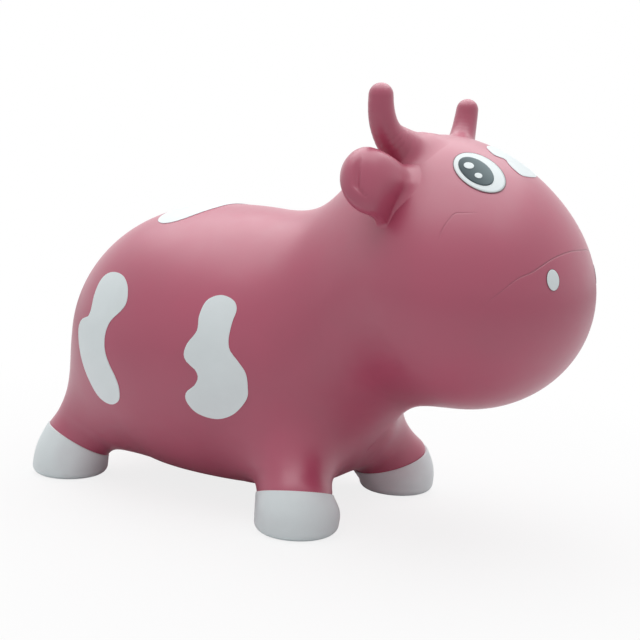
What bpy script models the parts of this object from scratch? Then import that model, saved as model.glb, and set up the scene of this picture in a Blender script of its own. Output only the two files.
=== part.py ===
# Hopping cow: an air-filled ride-on toy for a small child.
# Metres, +X to the nose, +Y to the animal's left, +Z up.
# The origin is on the floor under the middle of the toy.
# A station is a distance forward from the back of the hind hooves.

import math

import bmesh
import bpy
import numpy as np
from mathutils import Matrix, Vector

# Play between neighbouring pieces, and how far a cutting shape runs past what it cuts
gap = 0.0003
overrun = 0.02

# Trunk: four eggs run together, each with its station, height and half sizes.
# The crown rises above the muzzle's middle.
rump_station = 0.1305
rump_height = 0.1585
rump_half_length = 0.106
rump_half_width = 0.1405
rump_half_height = 0.1245
chest_station = 0.2875
chest_height = 0.1545
chest_half_length = 0.1115
chest_half_width = 0.111
chest_half_height = 0.128
crown_station = 0.4265
crown_rise = 0.055
crown_half_length = 0.0845
crown_half_width = 0.073
crown_half_height = 0.0895
muzzle_station = 0.4795
muzzle_height = 0.233
muzzle_half_length = 0.1105
muzzle_half_width = 0.1215
muzzle_half_height = 0.105
muzzle_lift = math.radians(4.6)
body_blend = 0.190
neck_blend = 0.085
head_blend = 0.110

# The belly is flattened a little above the floor
belly_clearance = 0.0105
belly_blend = 0.020

# Parting of head and torso: a plane across the neck, leaned forward at the throat
neck_station = 0.3425
neck_height = 0.197
neck_lean = math.radians(22)

# Legs: a tapered round leg from ankle to hip, run into the trunk
front_foot_station = 0.3515
front_foot_out = 0.1005
front_hip_station = 0.2755
front_hip_out = 0.018
hind_foot_out = 0.092
hind_hip_station = 0.110
hind_hip_out = 0.0625
hip_height = 0.123
ankle_radius = 0.0365
hip_radius = 0.0375
leg_blend = 0.050
leg_length = 0.034
leg_reach_share = 0.85

# Hooves: a round flat sole, lofted up to a collar that leans inwards with the leg
hoof_radius = 0.0435
sole_radius = 0.0415
sole_edge_radius = 0.006
collar_radius = 0.038
collar_proud = 0.0011
collar_height = 0.040
collar_inset = 0.010
collar_tilt = math.radians(28)
front_lean_turn = math.radians(122)
hind_lean_turn = math.radians(24)

# Horns: a curved round bar, flared where it leaves the head; its seat lies inside the head.
# Places count forward from the crown's middle, out from its side and down from its top.
horn_seat_forward = 0.0105
horn_seat_inset = 0.055
horn_seat_drop = 0.0325
horn_base_forward = 0.0041
horn_base_inset = 0.0395
horn_base_drop = 0.0095
horn_bend_back = 0.0131
horn_bend_out = 0.0130
horn_bend_drop = 0.0105
horn_tip_back = 0.0107
horn_tip_out = 0.0180
horn_tip_rise = 0.0480
horn_root_radius = 0.0166
horn_tip_radius = 0.0126
horn_flare = 0.0030
horn_flare_share = 0.28
horn_flare_spread_share = 0.20
horn_parting_share = 0.40

# Ears: a fat roll, curved back from the side of the head, whose foot leans back like a flap.
# Places count forward from the crown's middle, out from its side and up from its middle.
ear_root_forward = 0.0155
ear_root_inset = 0.018
ear_root_rise = 0.042
ear_bend_forward = 0.0075
ear_bend_out = 0.031
ear_bend_rise = 0.049
ear_tip_back = 0.0215
ear_tip_out = 0.063
ear_tip_rise = 0.052
ear_half_height = 0.0335
ear_front_thickness = 0.0230
ear_back_thickness = 0.0165
ear_neck_thickness = 0.0105
ear_flap_back = 0.0160
ear_fold_depth = 0.0035
ear_parting_share = 0.64
ear_widest_share = 0.70
ear_blunt_share = 0.12
ear_top_heavy_share = 0.35
ear_fold_share = 0.90
ear_fold_width_share = 0.05
ear_turn = math.radians(32)

# Painted marks: thin films on the skin
film = 0.0004
flank_mark_station = 0.242
flank_mark_height = 0.1014
flank_mark_length = 0.0636
flank_mark_rise = 0.1213
rump_mark_station = 0.099
rump_mark_height = 0.100
rump_mark_length = 0.0692
rump_mark_rise = 0.134
back_mark_station = 0.137
back_mark_length = 0.066
back_mark_width = 0.140
blaze_station = 0.5085
blaze_length = 0.053
blaze_width = 0.041

# Face: the eyes are ovals, the nostrils small dots
eye_turn = math.radians(37.5)
eye_lift = math.radians(34.5)
eye_lean = math.radians(23)
eye_half_height = 0.0300
eye_half_width = 0.0195
pupil_half_height = 0.0225
pupil_half_width = 0.0140
pupil_rise = 0.0018
upper_glint_radius = 0.0046
upper_glint_rise = 0.0085
lower_glint_radius = 0.0034
lower_glint_drop = 0.0048
nostril_turn = math.radians(29.3)
nostril_lift = math.radians(14.4)
nostril_half_height = 0.0092
nostril_half_width = 0.0072

# Air valve under the tail end: a seat sunk in the skin, and its plug
valve_drop = math.radians(48)
seat_radius = 0.0120
seat_depth = 0.0200
seat_lip = 0.0015
bore_radius = 0.0050
plug_head_radius = 0.0088
plug_head_height = 0.0030
plug_stem_length = 0.0160
plug_tip_length = 0.0030
plug_tip_radius = 0.0038

# Fineness of the meshes
skin_cell = 0.0165
settle_steps = 14
relax_rounds = 6
reach_samples = 400
reach_halvings = 30
leg_sides = 20
hoof_edge_rings = 4
hoof_wall_rings = 5
collar_rounds = 30
horn_sides = 14
horn_root_rings = 6
horn_rings = 7
horn_end_rings = 4
ear_sides = 16
ear_root_rings = 7
ear_rings = 8
turned_steps = 20
sharp_angle = math.radians(40)

# Form of the ear along its curve: shares of its length, then shares of its half height above and
# below its middle line, and of its flap's lean backwards
ear_along_shares = [0.00, 0.15, 0.30, 0.42, 0.52, 0.60, 0.70, 1.00]
ear_above_shares = [0.46, 0.54, 0.66, 0.77, 0.86, 0.92, 0.97, 0.97]
ear_below_shares = [0.42, 0.48, 0.76, 1.04, 1.06, 1.02, 0.98, 0.98]
ear_flap_shares = [0.00, 0.45, 0.90, 1.00, 0.65, 0.30, 0.00, 0.00]

# Outlines of the marks, as shares of their length and rise, round each in turn
flank_mark_shares = [
    (0.41, 1.00), (0.22, 0.95), (0.16, 0.83), (0.17, 0.71), (0.04, 0.60), (0.00, 0.51), (0.06, 0.45),
    (0.19, 0.40), (0.24, 0.34), (0.18, 0.27), (0.03, 0.20), (0.02, 0.12), (0.17, 0.03), (0.47, 0.00),
    (0.76, 0.06), (0.97, 0.19), (1.00, 0.30), (0.97, 0.41), (0.85, 0.50), (0.72, 0.58), (0.68, 0.67),
    (0.69, 0.80), (0.71, 0.90), (0.62, 0.97),
]
rump_mark_shares = [
    (0.57, 1.00), (0.39, 0.98), (0.29, 0.92), (0.27, 0.82), (0.29, 0.70), (0.22, 0.635), (0.08, 0.62),
    (0.00, 0.55), (0.05, 0.43), (0.14, 0.30), (0.27, 0.17), (0.42, 0.05), (0.58, 0.00), (0.75, 0.00),
    (0.90, 0.05), (0.95, 0.14), (0.91, 0.23), (0.80, 0.33), (0.72, 0.43), (0.71, 0.55), (0.78, 0.65),
    (0.95, 0.74), (1.00, 0.81), (0.93, 0.91), (0.77, 0.98),
]
back_mark_shares = [
    (0.05, 0.11), (0.17, 0.02), (0.39, 0.00), (0.57, 0.05), (0.71, 0.15), (0.86, 0.26), (0.90, 0.41),
    (0.86, 0.59), (1.00, 0.77), (0.90, 0.93), (0.60, 1.00), (0.25, 0.91), (0.09, 0.73), (0.17, 0.54),
    (0.02, 0.34),
]
blaze_shares = [
    (0.05, 0.20), (0.30, 0.01), (0.47, 0.15), (0.61, 0.05), (0.77, 0.00), (0.94, 0.06), (1.00, 0.50),
    (0.92, 0.88), (0.70, 1.00), (0.47, 0.86), (0.28, 0.94), (0.10, 0.82), (0.00, 0.50),
]

# Sizes that follow from those above
toy_length = muzzle_station + muzzle_half_length
hind_foot_station = hoof_radius
crown_height = muzzle_height + crown_rise
leg_cut_radius = hip_radius + leg_reach_share * leg_blend


def ahead(station):
    """Place along X of a station."""
    return station - toy_length / 2


# Colours, as red, green and blue
pink = (0.56, 0.13, 0.21)
white = (0.80, 0.84, 0.86)
dark = (0.045, 0.065, 0.070)
clear = (0.75, 0.75, 0.72)

for old in list(bpy.context.scene.objects):
    bpy.data.objects.remove(old, do_unlink=True)

toy = bpy.data.collections.new("hopping_cow")
cutters = bpy.data.collections.new("cutters")
bpy.context.scene.collection.children.link(toy)
bpy.context.scene.collection.children.link(cutters)


# The trunk's field: about the distance to the skin, less than zero inside

def soft_union(a, b, blend):
    """The lesser of two distances, less a fillet that fades where they differ by the blend."""
    near = np.maximum(blend - np.abs(a - b), 0) / blend
    return np.minimum(a, b) - near * near * blend / 4


def egg(points, centre, radii, lift=0.0):
    """About the distance to an ellipsoid whose nose is lifted by an angle."""
    away = points - np.array(centre)
    x = away[:, 0] * math.cos(lift) + away[:, 2] * math.sin(lift)
    z = away[:, 2] * math.cos(lift) - away[:, 0] * math.sin(lift)
    local = np.stack([x, away[:, 1], z], axis=1)
    radii = np.array(radii)
    once = np.linalg.norm(local / radii, axis=1)
    twice = np.linalg.norm(local / radii**2, axis=1) + 1 / radii.min() / 1e6
    return once * (once - 1) / twice


def bar(points, start, end, start_radius, end_radius):
    """Distance to a round bar whose radius runs evenly from one end to the other."""
    start, end = np.array(start), np.array(end)
    along = end - start
    share = np.clip((points - start) @ along / (along @ along), 0, 1)
    radius = start_radius + (end_radius - start_radius) * share
    return np.linalg.norm(points - start - share[:, None] * along, axis=1) - radius


def trunk(points):
    """Field of torso and head without the legs."""
    rump = egg(points, (ahead(rump_station), 0, rump_height),
               (rump_half_length, rump_half_width, rump_half_height))
    chest = egg(points, (ahead(chest_station), 0, chest_height),
                (chest_half_length, chest_half_width, chest_half_height))
    crown = egg(points, (ahead(crown_station), 0, crown_height),
                (crown_half_length, crown_half_width, crown_half_height))
    muzzle = egg(points, (ahead(muzzle_station), 0, muzzle_height),
                 (muzzle_half_length, muzzle_half_width, muzzle_half_height), muzzle_lift)
    body = soft_union(rump, chest, body_blend)
    head = soft_union(muzzle, crown, head_blend)
    whole = soft_union(body, head, neck_blend)
    return -soft_union(-whole, points[:, 2] - belly_clearance, belly_blend)


def slope(field, points):
    """Unit direction in which a field grows fastest, by central differences."""
    step = skin_cell / 100
    parts = []
    for axis in np.eye(3):
        parts.append(field(points + axis * step) - field(points - axis * step))
    grown = np.stack(parts, axis=1)
    return grown / np.maximum(np.linalg.norm(grown, axis=1, keepdims=True), 1e-30)


def settle(field, points):
    """Moves points along the slope until they lie on the field's zero."""
    for _ in range(settle_steps):
        points = points - np.clip(field(points), -skin_cell, skin_cell)[:, None] * slope(field, points)
    return points


def reach(field, start, direction, longest):
    """First point along a line where the field turns from inside to outside."""
    shares = np.linspace(0, 1, reach_samples)
    line = np.array(start) + shares[:, None] * longest * np.array(direction)
    outside = field(line) > 0
    first = int(np.argmax(outside))
    near, far = line[first - 1], line[first]
    for _ in range(reach_halvings):
        middle = (near + far) / 2
        if field(middle[None])[0] > 0:
            far = middle
        else:
            near = middle
    return (near + far) / 2


# Legs, each worked out from its foot, hip and the way that it leans

class Leg:
    def __init__(self, name, foot_station, foot_out, root_station, root_out, lean_turn, side):
        self.name = name
        self.foot = np.array([ahead(foot_station), side * foot_out, 0])
        inward = np.array([math.cos(lean_turn), -side * math.sin(lean_turn), 0])
        self.collar = self.foot + inward * collar_inset + np.array([0, 0, collar_height])
        self.collar_normal = inward * math.sin(collar_tilt) + np.array([0, 0, math.cos(collar_tilt)])
        self.hip = np.array([ahead(root_station), side * root_out, hip_height])
        axis = self.hip - self.collar
        self.axis = axis / np.linalg.norm(axis)
        self.ankle = self.collar - self.axis * (ankle_radius / 2)
        self.root = self.collar + self.axis * leg_length

    def field(self, points):
        return bar(points, self.ankle, self.hip, ankle_radius, hip_radius)


legs = []
for side_name, side in (("left", 1), ("right", -1)):
    legs.append(Leg(side_name + "_front", front_foot_station, front_foot_out,
                    front_hip_station, front_hip_out, front_lean_turn, side))
    legs.append(Leg(side_name + "_hind", hind_foot_station, hind_foot_out,
                    hind_hip_station, hind_hip_out, hind_lean_turn, side))


def body(points):
    """Field of the whole skin: the trunk with its four legs run in."""
    whole = trunk(points)
    for left, right in zip(legs[:2], legs[2:]):
        pair = soft_union(left.field(points), right.field(points), leg_blend)
        whole = soft_union(whole, pair, leg_blend)
    return whole


def ring_axes(normal, start):
    """Two unit directions square to a normal, the first of them as near as can be to a start."""
    normal = np.array(normal) / np.linalg.norm(normal)
    first = np.array(start) - normal * (np.array(start) @ normal)
    first = first / np.linalg.norm(first)
    return first, np.cross(normal, first)


def circle(centre, normal, radius, sides, start=(1, 0, 0)):
    """Points round a circle, one ring of a loft."""
    first, second = ring_axes(normal, start)
    turn = np.linspace(0, 2 * math.pi, sides, endpoint=False)[:, None]
    return np.array(centre) + radius * (np.cos(turn) * first + np.sin(turn) * second)


# Making objects

materials = {}


def material(name, colour, roughness):
    """A plain painted or moulded finish, made once for each name."""
    if name not in materials:
        made = bpy.data.materials.new(name)
        made.use_nodes = True
        shader = made.node_tree.nodes["Principled BSDF"]
        shader.inputs["Base Color"].default_value = (*colour, 1)
        shader.inputs["Roughness"].default_value = roughness
        shader.inputs["Metallic"].default_value = 0
        made.diffuse_color = (*colour, 1)
        materials[name] = made
    return materials[name]


def from_mesh(name, vertices, faces, finish=None, group=toy, pivot=(0, 0, 0)):
    """An object from points and faces, with its faces turned outwards and its origin at a pivot."""
    mesh = bpy.data.meshes.new(name)
    mesh.from_pydata([tuple(v) for v in np.array(vertices) - np.array(pivot)], [], [tuple(f) for f in faces])
    bm = bmesh.new()
    bm.from_mesh(mesh)
    bmesh.ops.recalc_face_normals(bm, faces=bm.faces)
    bm.to_mesh(mesh)
    bm.free()
    made = bpy.data.objects.new(name, mesh)
    made.location = pivot
    return finished(made, finish, group)


def finished(thing, finish, group):
    """Puts an object in its collection, with its finish, and shades it smooth."""
    group.objects.link(thing)
    if group is cutters:
        thing.hide_render = True
        thing.display_type = "WIRE"
    if finish:
        thing.data.materials.append(finish)
    thing.data.shade_smooth()
    thing.data.set_sharp_from_angle(angle=sharp_angle)
    return thing


def loft(rings):
    """Points and faces of a closed skin over a row of rings, with a flat face at each end."""
    sides = len(rings[0])
    vertices = np.concatenate(rings)
    faces = []
    for row in range(len(rings) - 1):
        for i in range(sides):
            j = (i + 1) % sides
            faces.append((row * sides + i, row * sides + j, (row + 1) * sides + j, (row + 1) * sides + i))
    faces.append(tuple(range(sides))[::-1])
    faces.append(tuple(range((len(rings) - 1) * sides, len(rings) * sides)))
    return vertices, faces


def combine(thing, other, operation):
    """Cuts, crosses or joins an object with another by a Boolean modifier."""
    step = thing.modifiers.new(other.name, "BOOLEAN")
    step.operation = operation
    step.solver = "EXACT"
    step.object = other


def net(field, low, high):
    """Quads round a field's zero: one corner in each cell of a grid that the skin crosses."""
    counts = np.ceil((high - low) / skin_cell).astype(int) + 1
    middle = (low + high) / 2
    axes = [middle[i] + skin_cell * (np.arange(counts[i]) - (counts[i] - 1) / 2) for i in range(3)]
    grid = np.stack(np.meshgrid(*axes, indexing="ij"), axis=-1)
    inside = (field(grid.reshape(-1, 3)) < 0).reshape(counts)
    total = sum(inside[i:counts[0] - 1 + i, j:counts[1] - 1 + j, k:counts[2] - 1 + k].astype(int)
                for i in (0, 1) for j in (0, 1) for k in (0, 1))
    crossed = (total > 0) & (total < 8)
    number = np.full(crossed.shape, -1)
    number[crossed] = np.arange(crossed.sum())
    corners = grid[:-1, :-1, :-1][crossed] + skin_cell / 2
    quads = []
    for axis in range(3):
        here = np.moveaxis(inside, axis, 0)
        cell = np.moveaxis(number, axis, 0)
        change = here[:-1, 1:-1, 1:-1] != here[1:, 1:-1, 1:-1]
        i, j, k = np.nonzero(change)
        quads.append(np.stack([cell[i, j, k], cell[i, j + 1, k], cell[i, j + 1, k + 1], cell[i, j, k + 1]], 1))
    return corners, np.concatenate(quads)


def relaxed(field, corners, quads):
    """Evens out a net: each corner moves to the mean of its neighbours and back onto the skin."""
    edges = np.concatenate([quads[:, [i, (i + 1) % 4]] for i in range(4)])
    edges = np.unique(np.sort(edges, axis=1), axis=0)
    ends = np.concatenate([edges, edges[:, ::-1]])
    touching = np.bincount(ends[:, 0], minlength=len(corners))[:, None]
    corners = settle(field, corners)
    for _ in range(relax_rounds):
        mean = np.stack([np.bincount(ends[:, 0], corners[ends[:, 1], i], len(corners)) for i in range(3)], 1)
        corners = settle(field, (corners + mean / touching) / 2)
    return corners


def split(corners, quads):
    """Two triangles from each quad, along its shorter diagonal."""
    first = np.linalg.norm(corners[quads[:, 0]] - corners[quads[:, 2]], axis=1)
    second = np.linalg.norm(corners[quads[:, 1]] - corners[quads[:, 3]], axis=1)
    turned_on = np.where((second < first)[:, None], np.roll(quads, -1, axis=1), quads)
    return np.concatenate([turned_on[:, [0, 1, 2]], turned_on[:, [0, 2, 3]]])


# One net of the whole skin, which torso, head, legs and films are all parted from

margin = 2 * skin_cell
skin_low = np.array([-toy_length / 2 - margin, -rump_half_width - margin, -margin])
skin_high = np.array([toy_length / 2 + margin, rump_half_width + margin,
                      crown_height + crown_half_height + margin])
skin_low[1] -= body_blend / 8
skin_high[1] += body_blend / 8
skin_high[2] += head_blend / 8
skin_points, skin_quads = net(body, skin_low, skin_high)
skin_points = relaxed(body, skin_points, skin_quads)
skin_faces = split(skin_points, skin_quads)
skin_normals = slope(body, skin_points)


def skin(name, lift=0.0, finish=None, group=toy):
    """The whole skin, or a copy of it lifted a little."""
    return from_mesh(name, skin_points + skin_normals * lift, skin_faces, finish, group)


def layer(name, lift, thickness):
    """A film all over the skin: an outer copy of it and an inner one turned inside out."""
    made = skin(name, lift + thickness, None, cutters)
    inner = skin(name + "_inner", lift, None, cutters)
    bm = bmesh.new()
    bm.from_mesh(inner.data)
    bmesh.ops.reverse_faces(bm, faces=bm.faces)
    bm.from_mesh(made.data)
    bm.to_mesh(made.data)
    bm.free()
    bpy.data.objects.remove(inner, do_unlink=True)
    return made


pink_skin = material("pink_skin", pink, 0.5)
white_paint = material("white_paint", white, 0.45)
dark_paint = material("dark_paint", dark, 0.4)
clear_vinyl = material("clear_vinyl", clear, 0.35)


def block(name, centre, size, turn=0.0):
    """A box turned about Y, used to cut."""
    bpy.ops.mesh.primitive_cube_add(size=1)
    made = bpy.context.object
    made.name = name
    for owner in list(made.users_collection):
        owner.objects.unlink(made)
    made.matrix_world = Matrix.Translation(centre) @ Matrix.Rotation(turn, 4, "Y") @ Matrix.Diagonal((*size, 1))
    return finished(made, None, cutters)


# Torso and head, parted at the neck

neck = Vector((ahead(neck_station), 0, neck_height))
forward = Vector((math.cos(neck_lean), 0, math.sin(neck_lean)))
half_block = toy_length / 2
block_size = (toy_length, toy_length, toy_length)
front_block = block("front_block", neck + forward * (half_block - gap / 2), block_size, -neck_lean)
rear_block = block("rear_block", neck - forward * (half_block - gap / 2), block_size, -neck_lean)

torso = skin("torso", 0, pink_skin)
combine(torso, front_block, "DIFFERENCE")
head = skin("head", 0, pink_skin)
combine(head, rear_block, "DIFFERENCE")


# Legs and hooves

def leg_zone(name, low_centre, low_normal, high_centre, high_normal):
    """A round block between two leaning planes, used to part a leg."""
    rings = [circle(low_centre, low_normal, leg_cut_radius, leg_sides),
             circle(high_centre, high_normal, leg_cut_radius, leg_sides)]
    return from_mesh(name, *loft(rings), None, cutters)


def sleeve(leg):
    """The soft leg between the hoof's collar and the torso."""
    made = skin(leg.name + "_leg", 0, pink_skin)
    zone = leg_zone(leg.name + "_leg_zone", leg.collar + leg.collar_normal * gap, leg.collar_normal,
                    leg.root, leg.axis)
    combine(made, zone, "INTERSECT")
    away = leg_zone(leg.name + "_leg_cut", leg.collar - leg.axis * (leg_cut_radius + overrun), leg.axis,
                    leg.root + leg.axis * gap, leg.axis)
    combine(torso, away, "DIFFERENCE")
    return made


def collar_ring(leg):
    """The hoof's top edge: a ring in the collar's plane, a little outside the leg's skin."""
    points = circle(leg.collar, leg.collar_normal, collar_radius, leg_sides)
    for _ in range(collar_rounds):
        points = points - (body(points) - collar_proud)[:, None] * slope(body, points)
        points = points - ((points - leg.collar) @ leg.collar_normal)[:, None] * leg.collar_normal
    return points


def hoof(leg):
    """A hoof lofted from its flat sole, over a rounded edge, to the leaning collar."""
    rings = []
    flat = sole_radius - sole_edge_radius
    up = np.array([0, 0, 1])
    for turn in np.linspace(0, math.pi / 2, hoof_edge_rings):
        radius = flat + sole_edge_radius * math.sin(turn)
        height = sole_edge_radius * (1 - math.cos(turn))
        rings.append(circle(leg.foot + up * height, up, radius, leg_sides))
    low = rings[-1]
    around = (low - low.mean(axis=0)) / sole_radius
    top = collar_ring(leg)
    bulge = hoof_radius - (sole_radius + collar_radius) / 2
    for share in np.linspace(0, 1, hoof_wall_rings + 1)[1:]:
        rings.append(low + (top - low) * share + around * bulge * math.sin(math.pi * share))
    return from_mesh(leg.name + "_hoof", *loft(rings), white_paint)


sleeves = []
for leg in legs:
    sleeves.append(sleeve(leg))
    hoof(leg)


# Horns and ears: a short root on the head, and the part that flexes

head_clearance = skin("head_clearance", gap, None, cutters)


def mirrored(points, side):
    """Points of the left side, or of the right for a side of -1."""
    return points * np.array([1, side, 1])


def by_crown(forward, out, up):
    """Place counted from the middle of the crown's side."""
    return np.array([ahead(crown_station) + forward, crown_half_width + out, crown_height + up])


def horn_rings_between(first, last, count):
    """Rings square to a curved line from the horn's base past its bend to its tip."""
    base = by_crown(horn_base_forward, -horn_base_inset, crown_half_height - horn_base_drop)
    bend = by_crown(-horn_bend_back, horn_bend_out, crown_half_height - horn_bend_drop)
    tip = by_crown(-horn_tip_back, horn_tip_out, crown_half_height - horn_bend_drop + horn_tip_rise)
    rings = []
    for share in np.linspace(first, last, count):
        centre = base * (1 - share)**2 + bend * 2 * share * (1 - share) + tip * share**2
        heading = (bend - base) * (1 - share) + (tip - bend) * share
        radius = horn_root_radius + (horn_tip_radius - horn_root_radius) * share
        radius += horn_flare * math.exp(-((share - horn_flare_share) / horn_flare_spread_share) ** 2)
        rings.append(circle(centre, heading, radius, horn_sides))
    return rings, tip, (tip - bend) / np.linalg.norm(tip - bend)


def horn(side_name, side):
    """Root and horn of one side; the horn has a round end and its origin where it bends."""
    rings, tip, heading = horn_rings_between(0, horn_parting_share, horn_root_rings)
    seat = by_crown(horn_seat_forward, -horn_seat_inset, crown_half_height - horn_seat_drop)
    rings.insert(0, circle(seat, rings[0].mean(axis=0) - seat, horn_tip_radius, horn_sides))
    root = from_mesh(side_name + "_horn_root", *loft([mirrored(r, side) for r in rings]), pink_skin)
    combine(root, head_clearance, "DIFFERENCE")
    rings, tip, heading = horn_rings_between(horn_parting_share, 1, horn_rings)
    pivot = mirrored(rings[0].mean(axis=0), side)
    shift = rings[1].mean(axis=0) - rings[0].mean(axis=0)
    rings[0] = rings[0] + shift / np.linalg.norm(shift) * gap
    for turn in np.linspace(0, math.pi / 2, horn_end_rings + 1)[1:]:
        end = circle(tip + heading * horn_tip_radius * math.sin(turn), heading,
                     max(horn_tip_radius * math.cos(turn), horn_tip_radius / 12), horn_sides)
        rings.append(end)
    rings = [mirrored(ring, side) for ring in rings]
    made = from_mesh(side_name + "_horn", *loft(rings), pink_skin, toy, pivot)
    combine(made, head_clearance, "DIFFERENCE")
    return made


def ear_rings_between(first, last, count):
    """Sections of the ear along its curve: upright ovals, fuller above, with a fold where the end curls."""
    root = by_crown(ear_root_forward, -ear_root_inset, ear_root_rise)
    bend = by_crown(ear_bend_forward, ear_bend_out, ear_bend_rise)
    tip = by_crown(-ear_tip_back, ear_tip_out, ear_tip_rise)
    turn = np.linspace(0, 2 * math.pi, ear_sides, endpoint=False)
    rise, facing = np.sin(turn), np.cos(turn)
    rings = []
    for share in np.linspace(first, last, count):
        centre = root * (1 - share)**2 + bend * 2 * share * (1 - share) + tip * share**2
        heading = (bend - root) * (1 - share) + (tip - bend) * share
        level, below = ring_axes(heading, (1, 0, 0))
        front = level * math.cos(ear_turn) - below * math.sin(ear_turn)
        upward = -below * math.cos(ear_turn) - level * math.sin(ear_turn)
        past = max(share - ear_widest_share, 0) / (1 - ear_widest_share)
        lobe = max(math.sqrt(1 - past * past), ear_blunt_share)
        growth = min(share / ear_widest_share, 1)
        swell = growth * growth * (3 - 2 * growth)
        above = np.interp(share, ear_along_shares, ear_above_shares)
        below = np.interp(share, ear_along_shares, ear_below_shares)
        height = ear_half_height * lobe * np.where(rise > 0, above, below)
        full = np.where(facing > 0, ear_front_thickness, ear_back_thickness)
        depth = (ear_neck_thickness + (full - ear_neck_thickness) * swell) * lobe
        depth = depth * (1 + ear_top_heavy_share * rise * (facing > 0))
        flap = ear_flap_back * np.interp(share, ear_along_shares, ear_flap_shares) * np.maximum(-rise, 0)**2
        across = (share - ear_fold_share) / ear_fold_width_share
        fold = ear_fold_depth * math.exp(-across * across) * np.maximum(facing, 0)
        out = depth * facing - flap - fold
        rings.append(centre + np.outer(out, front) + np.outer(height * rise, upward))
    return rings


def ear(side_name, side):
    """Root and ear of one side; the ear's origin is where it bends."""
    rings = ear_rings_between(0, ear_parting_share, ear_root_rings)
    root = from_mesh(side_name + "_ear_root", *loft([mirrored(r, side) for r in rings]), pink_skin)
    combine(root, head_clearance, "DIFFERENCE")
    rings = ear_rings_between(ear_parting_share, 1, ear_rings)
    pivot = mirrored((rings[0].min(axis=0) + rings[0].max(axis=0)) / 2, side)
    shift = rings[1].mean(axis=0) - rings[0].mean(axis=0)
    rings[0] = rings[0] + shift / np.linalg.norm(shift) * gap
    rings = [mirrored(ring, side) for ring in rings]
    made = from_mesh(side_name + "_ear", *loft(rings), pink_skin, toy, pivot)
    combine(made, head_clearance, "DIFFERENCE")
    return made


for side_name, side in (("left", 1), ("right", -1)):
    horn(side_name, side)
    ear(side_name, side)


# Painted marks

mark_layer = layer("mark_layer", gap, film)
pupil_layer = layer("pupil_layer", 2 * gap + film, film)
glint_layer = layer("glint_layer", 3 * gap + 2 * film, film)


def outline(name, points, place, depth, finish):
    """A flat closed outline with smooth corners, given a depth along its own Z and made a mesh."""
    curve = bpy.data.curves.new(name, "CURVE")
    curve.dimensions = "2D"
    curve.fill_mode = "BOTH"
    curve.extrude = depth / 2
    curve.resolution_u = 2
    spline = curve.splines.new("BEZIER")
    spline.bezier_points.add(len(points) - 1)
    for knot, (x, y) in zip(spline.bezier_points, points):
        knot.co = (x, y, 0)
        knot.handle_left_type = "AUTO"
        knot.handle_right_type = "AUTO"
    spline.use_cyclic_u = True
    drawn = bpy.data.objects.new(name, curve)
    toy.objects.link(drawn)
    bpy.context.view_layer.update()
    mesh = bpy.data.meshes.new_from_object(drawn.evaluated_get(bpy.context.evaluated_depsgraph_get()))
    bpy.data.objects.remove(drawn, do_unlink=True)
    bpy.data.curves.remove(curve)
    bm = bmesh.new()
    bm.from_mesh(mesh)
    bmesh.ops.remove_doubles(bm, verts=bm.verts, dist=gap / 100)
    bmesh.ops.recalc_face_normals(bm, faces=bm.faces)
    bm.to_mesh(mesh)
    bm.free()
    made = bpy.data.objects.new(name, mesh)
    mesh.materials.clear()
    made.matrix_world = place
    return finished(made, finish, toy)


def frame(origin, across, up):
    """Placing matrix with local X across, local Y up and local Z facing out."""
    across = Vector(across).normalized()
    out = across.cross(Vector(up)).normalized()
    up = out.cross(across)
    turned = Matrix((across, up, out)).transposed().to_4x4()
    return Matrix.Translation(Vector(origin)) @ turned


def scaled(shares, length, rise):
    return [(x * length, y * rise) for x, y in shares]


def side_mark(name, shares, station, height, length, rise, side):
    """A mark on the flank, drawn in side view and projected onto the skin."""
    depth = rump_half_width + overrun + body_blend / 8
    points = scaled(shares, length, rise)
    place = frame((ahead(station), side * depth / 2 + side * overrun, height), (-side, 0, 0), (0, 0, 1))
    points = [(-side * x, y) for x, y in points]
    made = outline(name, points, place, depth, white_paint)
    combine(made, mark_layer, "INTERSECT")


for side_name, side in (("left", 1), ("right", -1)):
    side_mark(side_name + "_flank_mark", flank_mark_shares, flank_mark_station, flank_mark_height,
              flank_mark_length, flank_mark_rise, side)
    side_mark(side_name + "_rump_mark", rump_mark_shares, rump_mark_station, rump_mark_height,
              rump_mark_length, rump_mark_rise, side)

back_points = [(x * back_mark_length, (y - 0.5) * back_mark_width) for x, y in back_mark_shares]
back_mark = outline("back_mark", back_points,
                    frame((ahead(back_mark_station), 0, rump_height + rump_half_height), (1, 0, 0), (0, 1, 0)),
                    2 * (rump_half_height - overrun), white_paint)
combine(back_mark, mark_layer, "INTERSECT")


def on_face(start, turn, lift, side):
    """Point on the skin seen from inside the head at an angle to the side and up, with its normal."""
    way = np.array([math.cos(lift) * math.cos(turn), side * math.cos(lift) * math.sin(turn), math.sin(lift)])
    point = reach(body, start, way, toy_length / 2)
    return point, slope(body, point[None])[0]


def oval(half_width, half_height, centre=(0, 0), knots=12):
    """Points round an oval."""
    turns = [2 * math.pi * i / knots for i in range(knots)]
    return [(centre[0] + half_width * math.cos(t), centre[1] + half_height * math.sin(t)) for t in turns]


def turned_points(points, angle):
    """Points turned in their own plane."""
    c, s = math.cos(angle), math.sin(angle)
    return [(x * c - y * s, x * s + y * c) for x, y in points]


crown = np.array([ahead(crown_station), 0, crown_height])
muzzle = np.array([ahead(muzzle_station), 0, muzzle_height])
blaze_start = np.array([ahead(blaze_station), 0, crown_height])
blaze_point = reach(body, blaze_start, np.array([0, 0, 1]), toy_length / 2)
blaze_normal = Vector(slope(body, blaze_point[None])[0])
blaze_points = [((y - 0.5) * blaze_width, (0.5 - x) * blaze_length) for x, y in blaze_shares]
blaze = outline("blaze", blaze_points, frame(blaze_point, (0, 1, 0), Vector((0, -1, 0)).cross(blaze_normal)),
                2 * overrun, white_paint)
combine(blaze, mark_layer, "INTERSECT")


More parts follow.
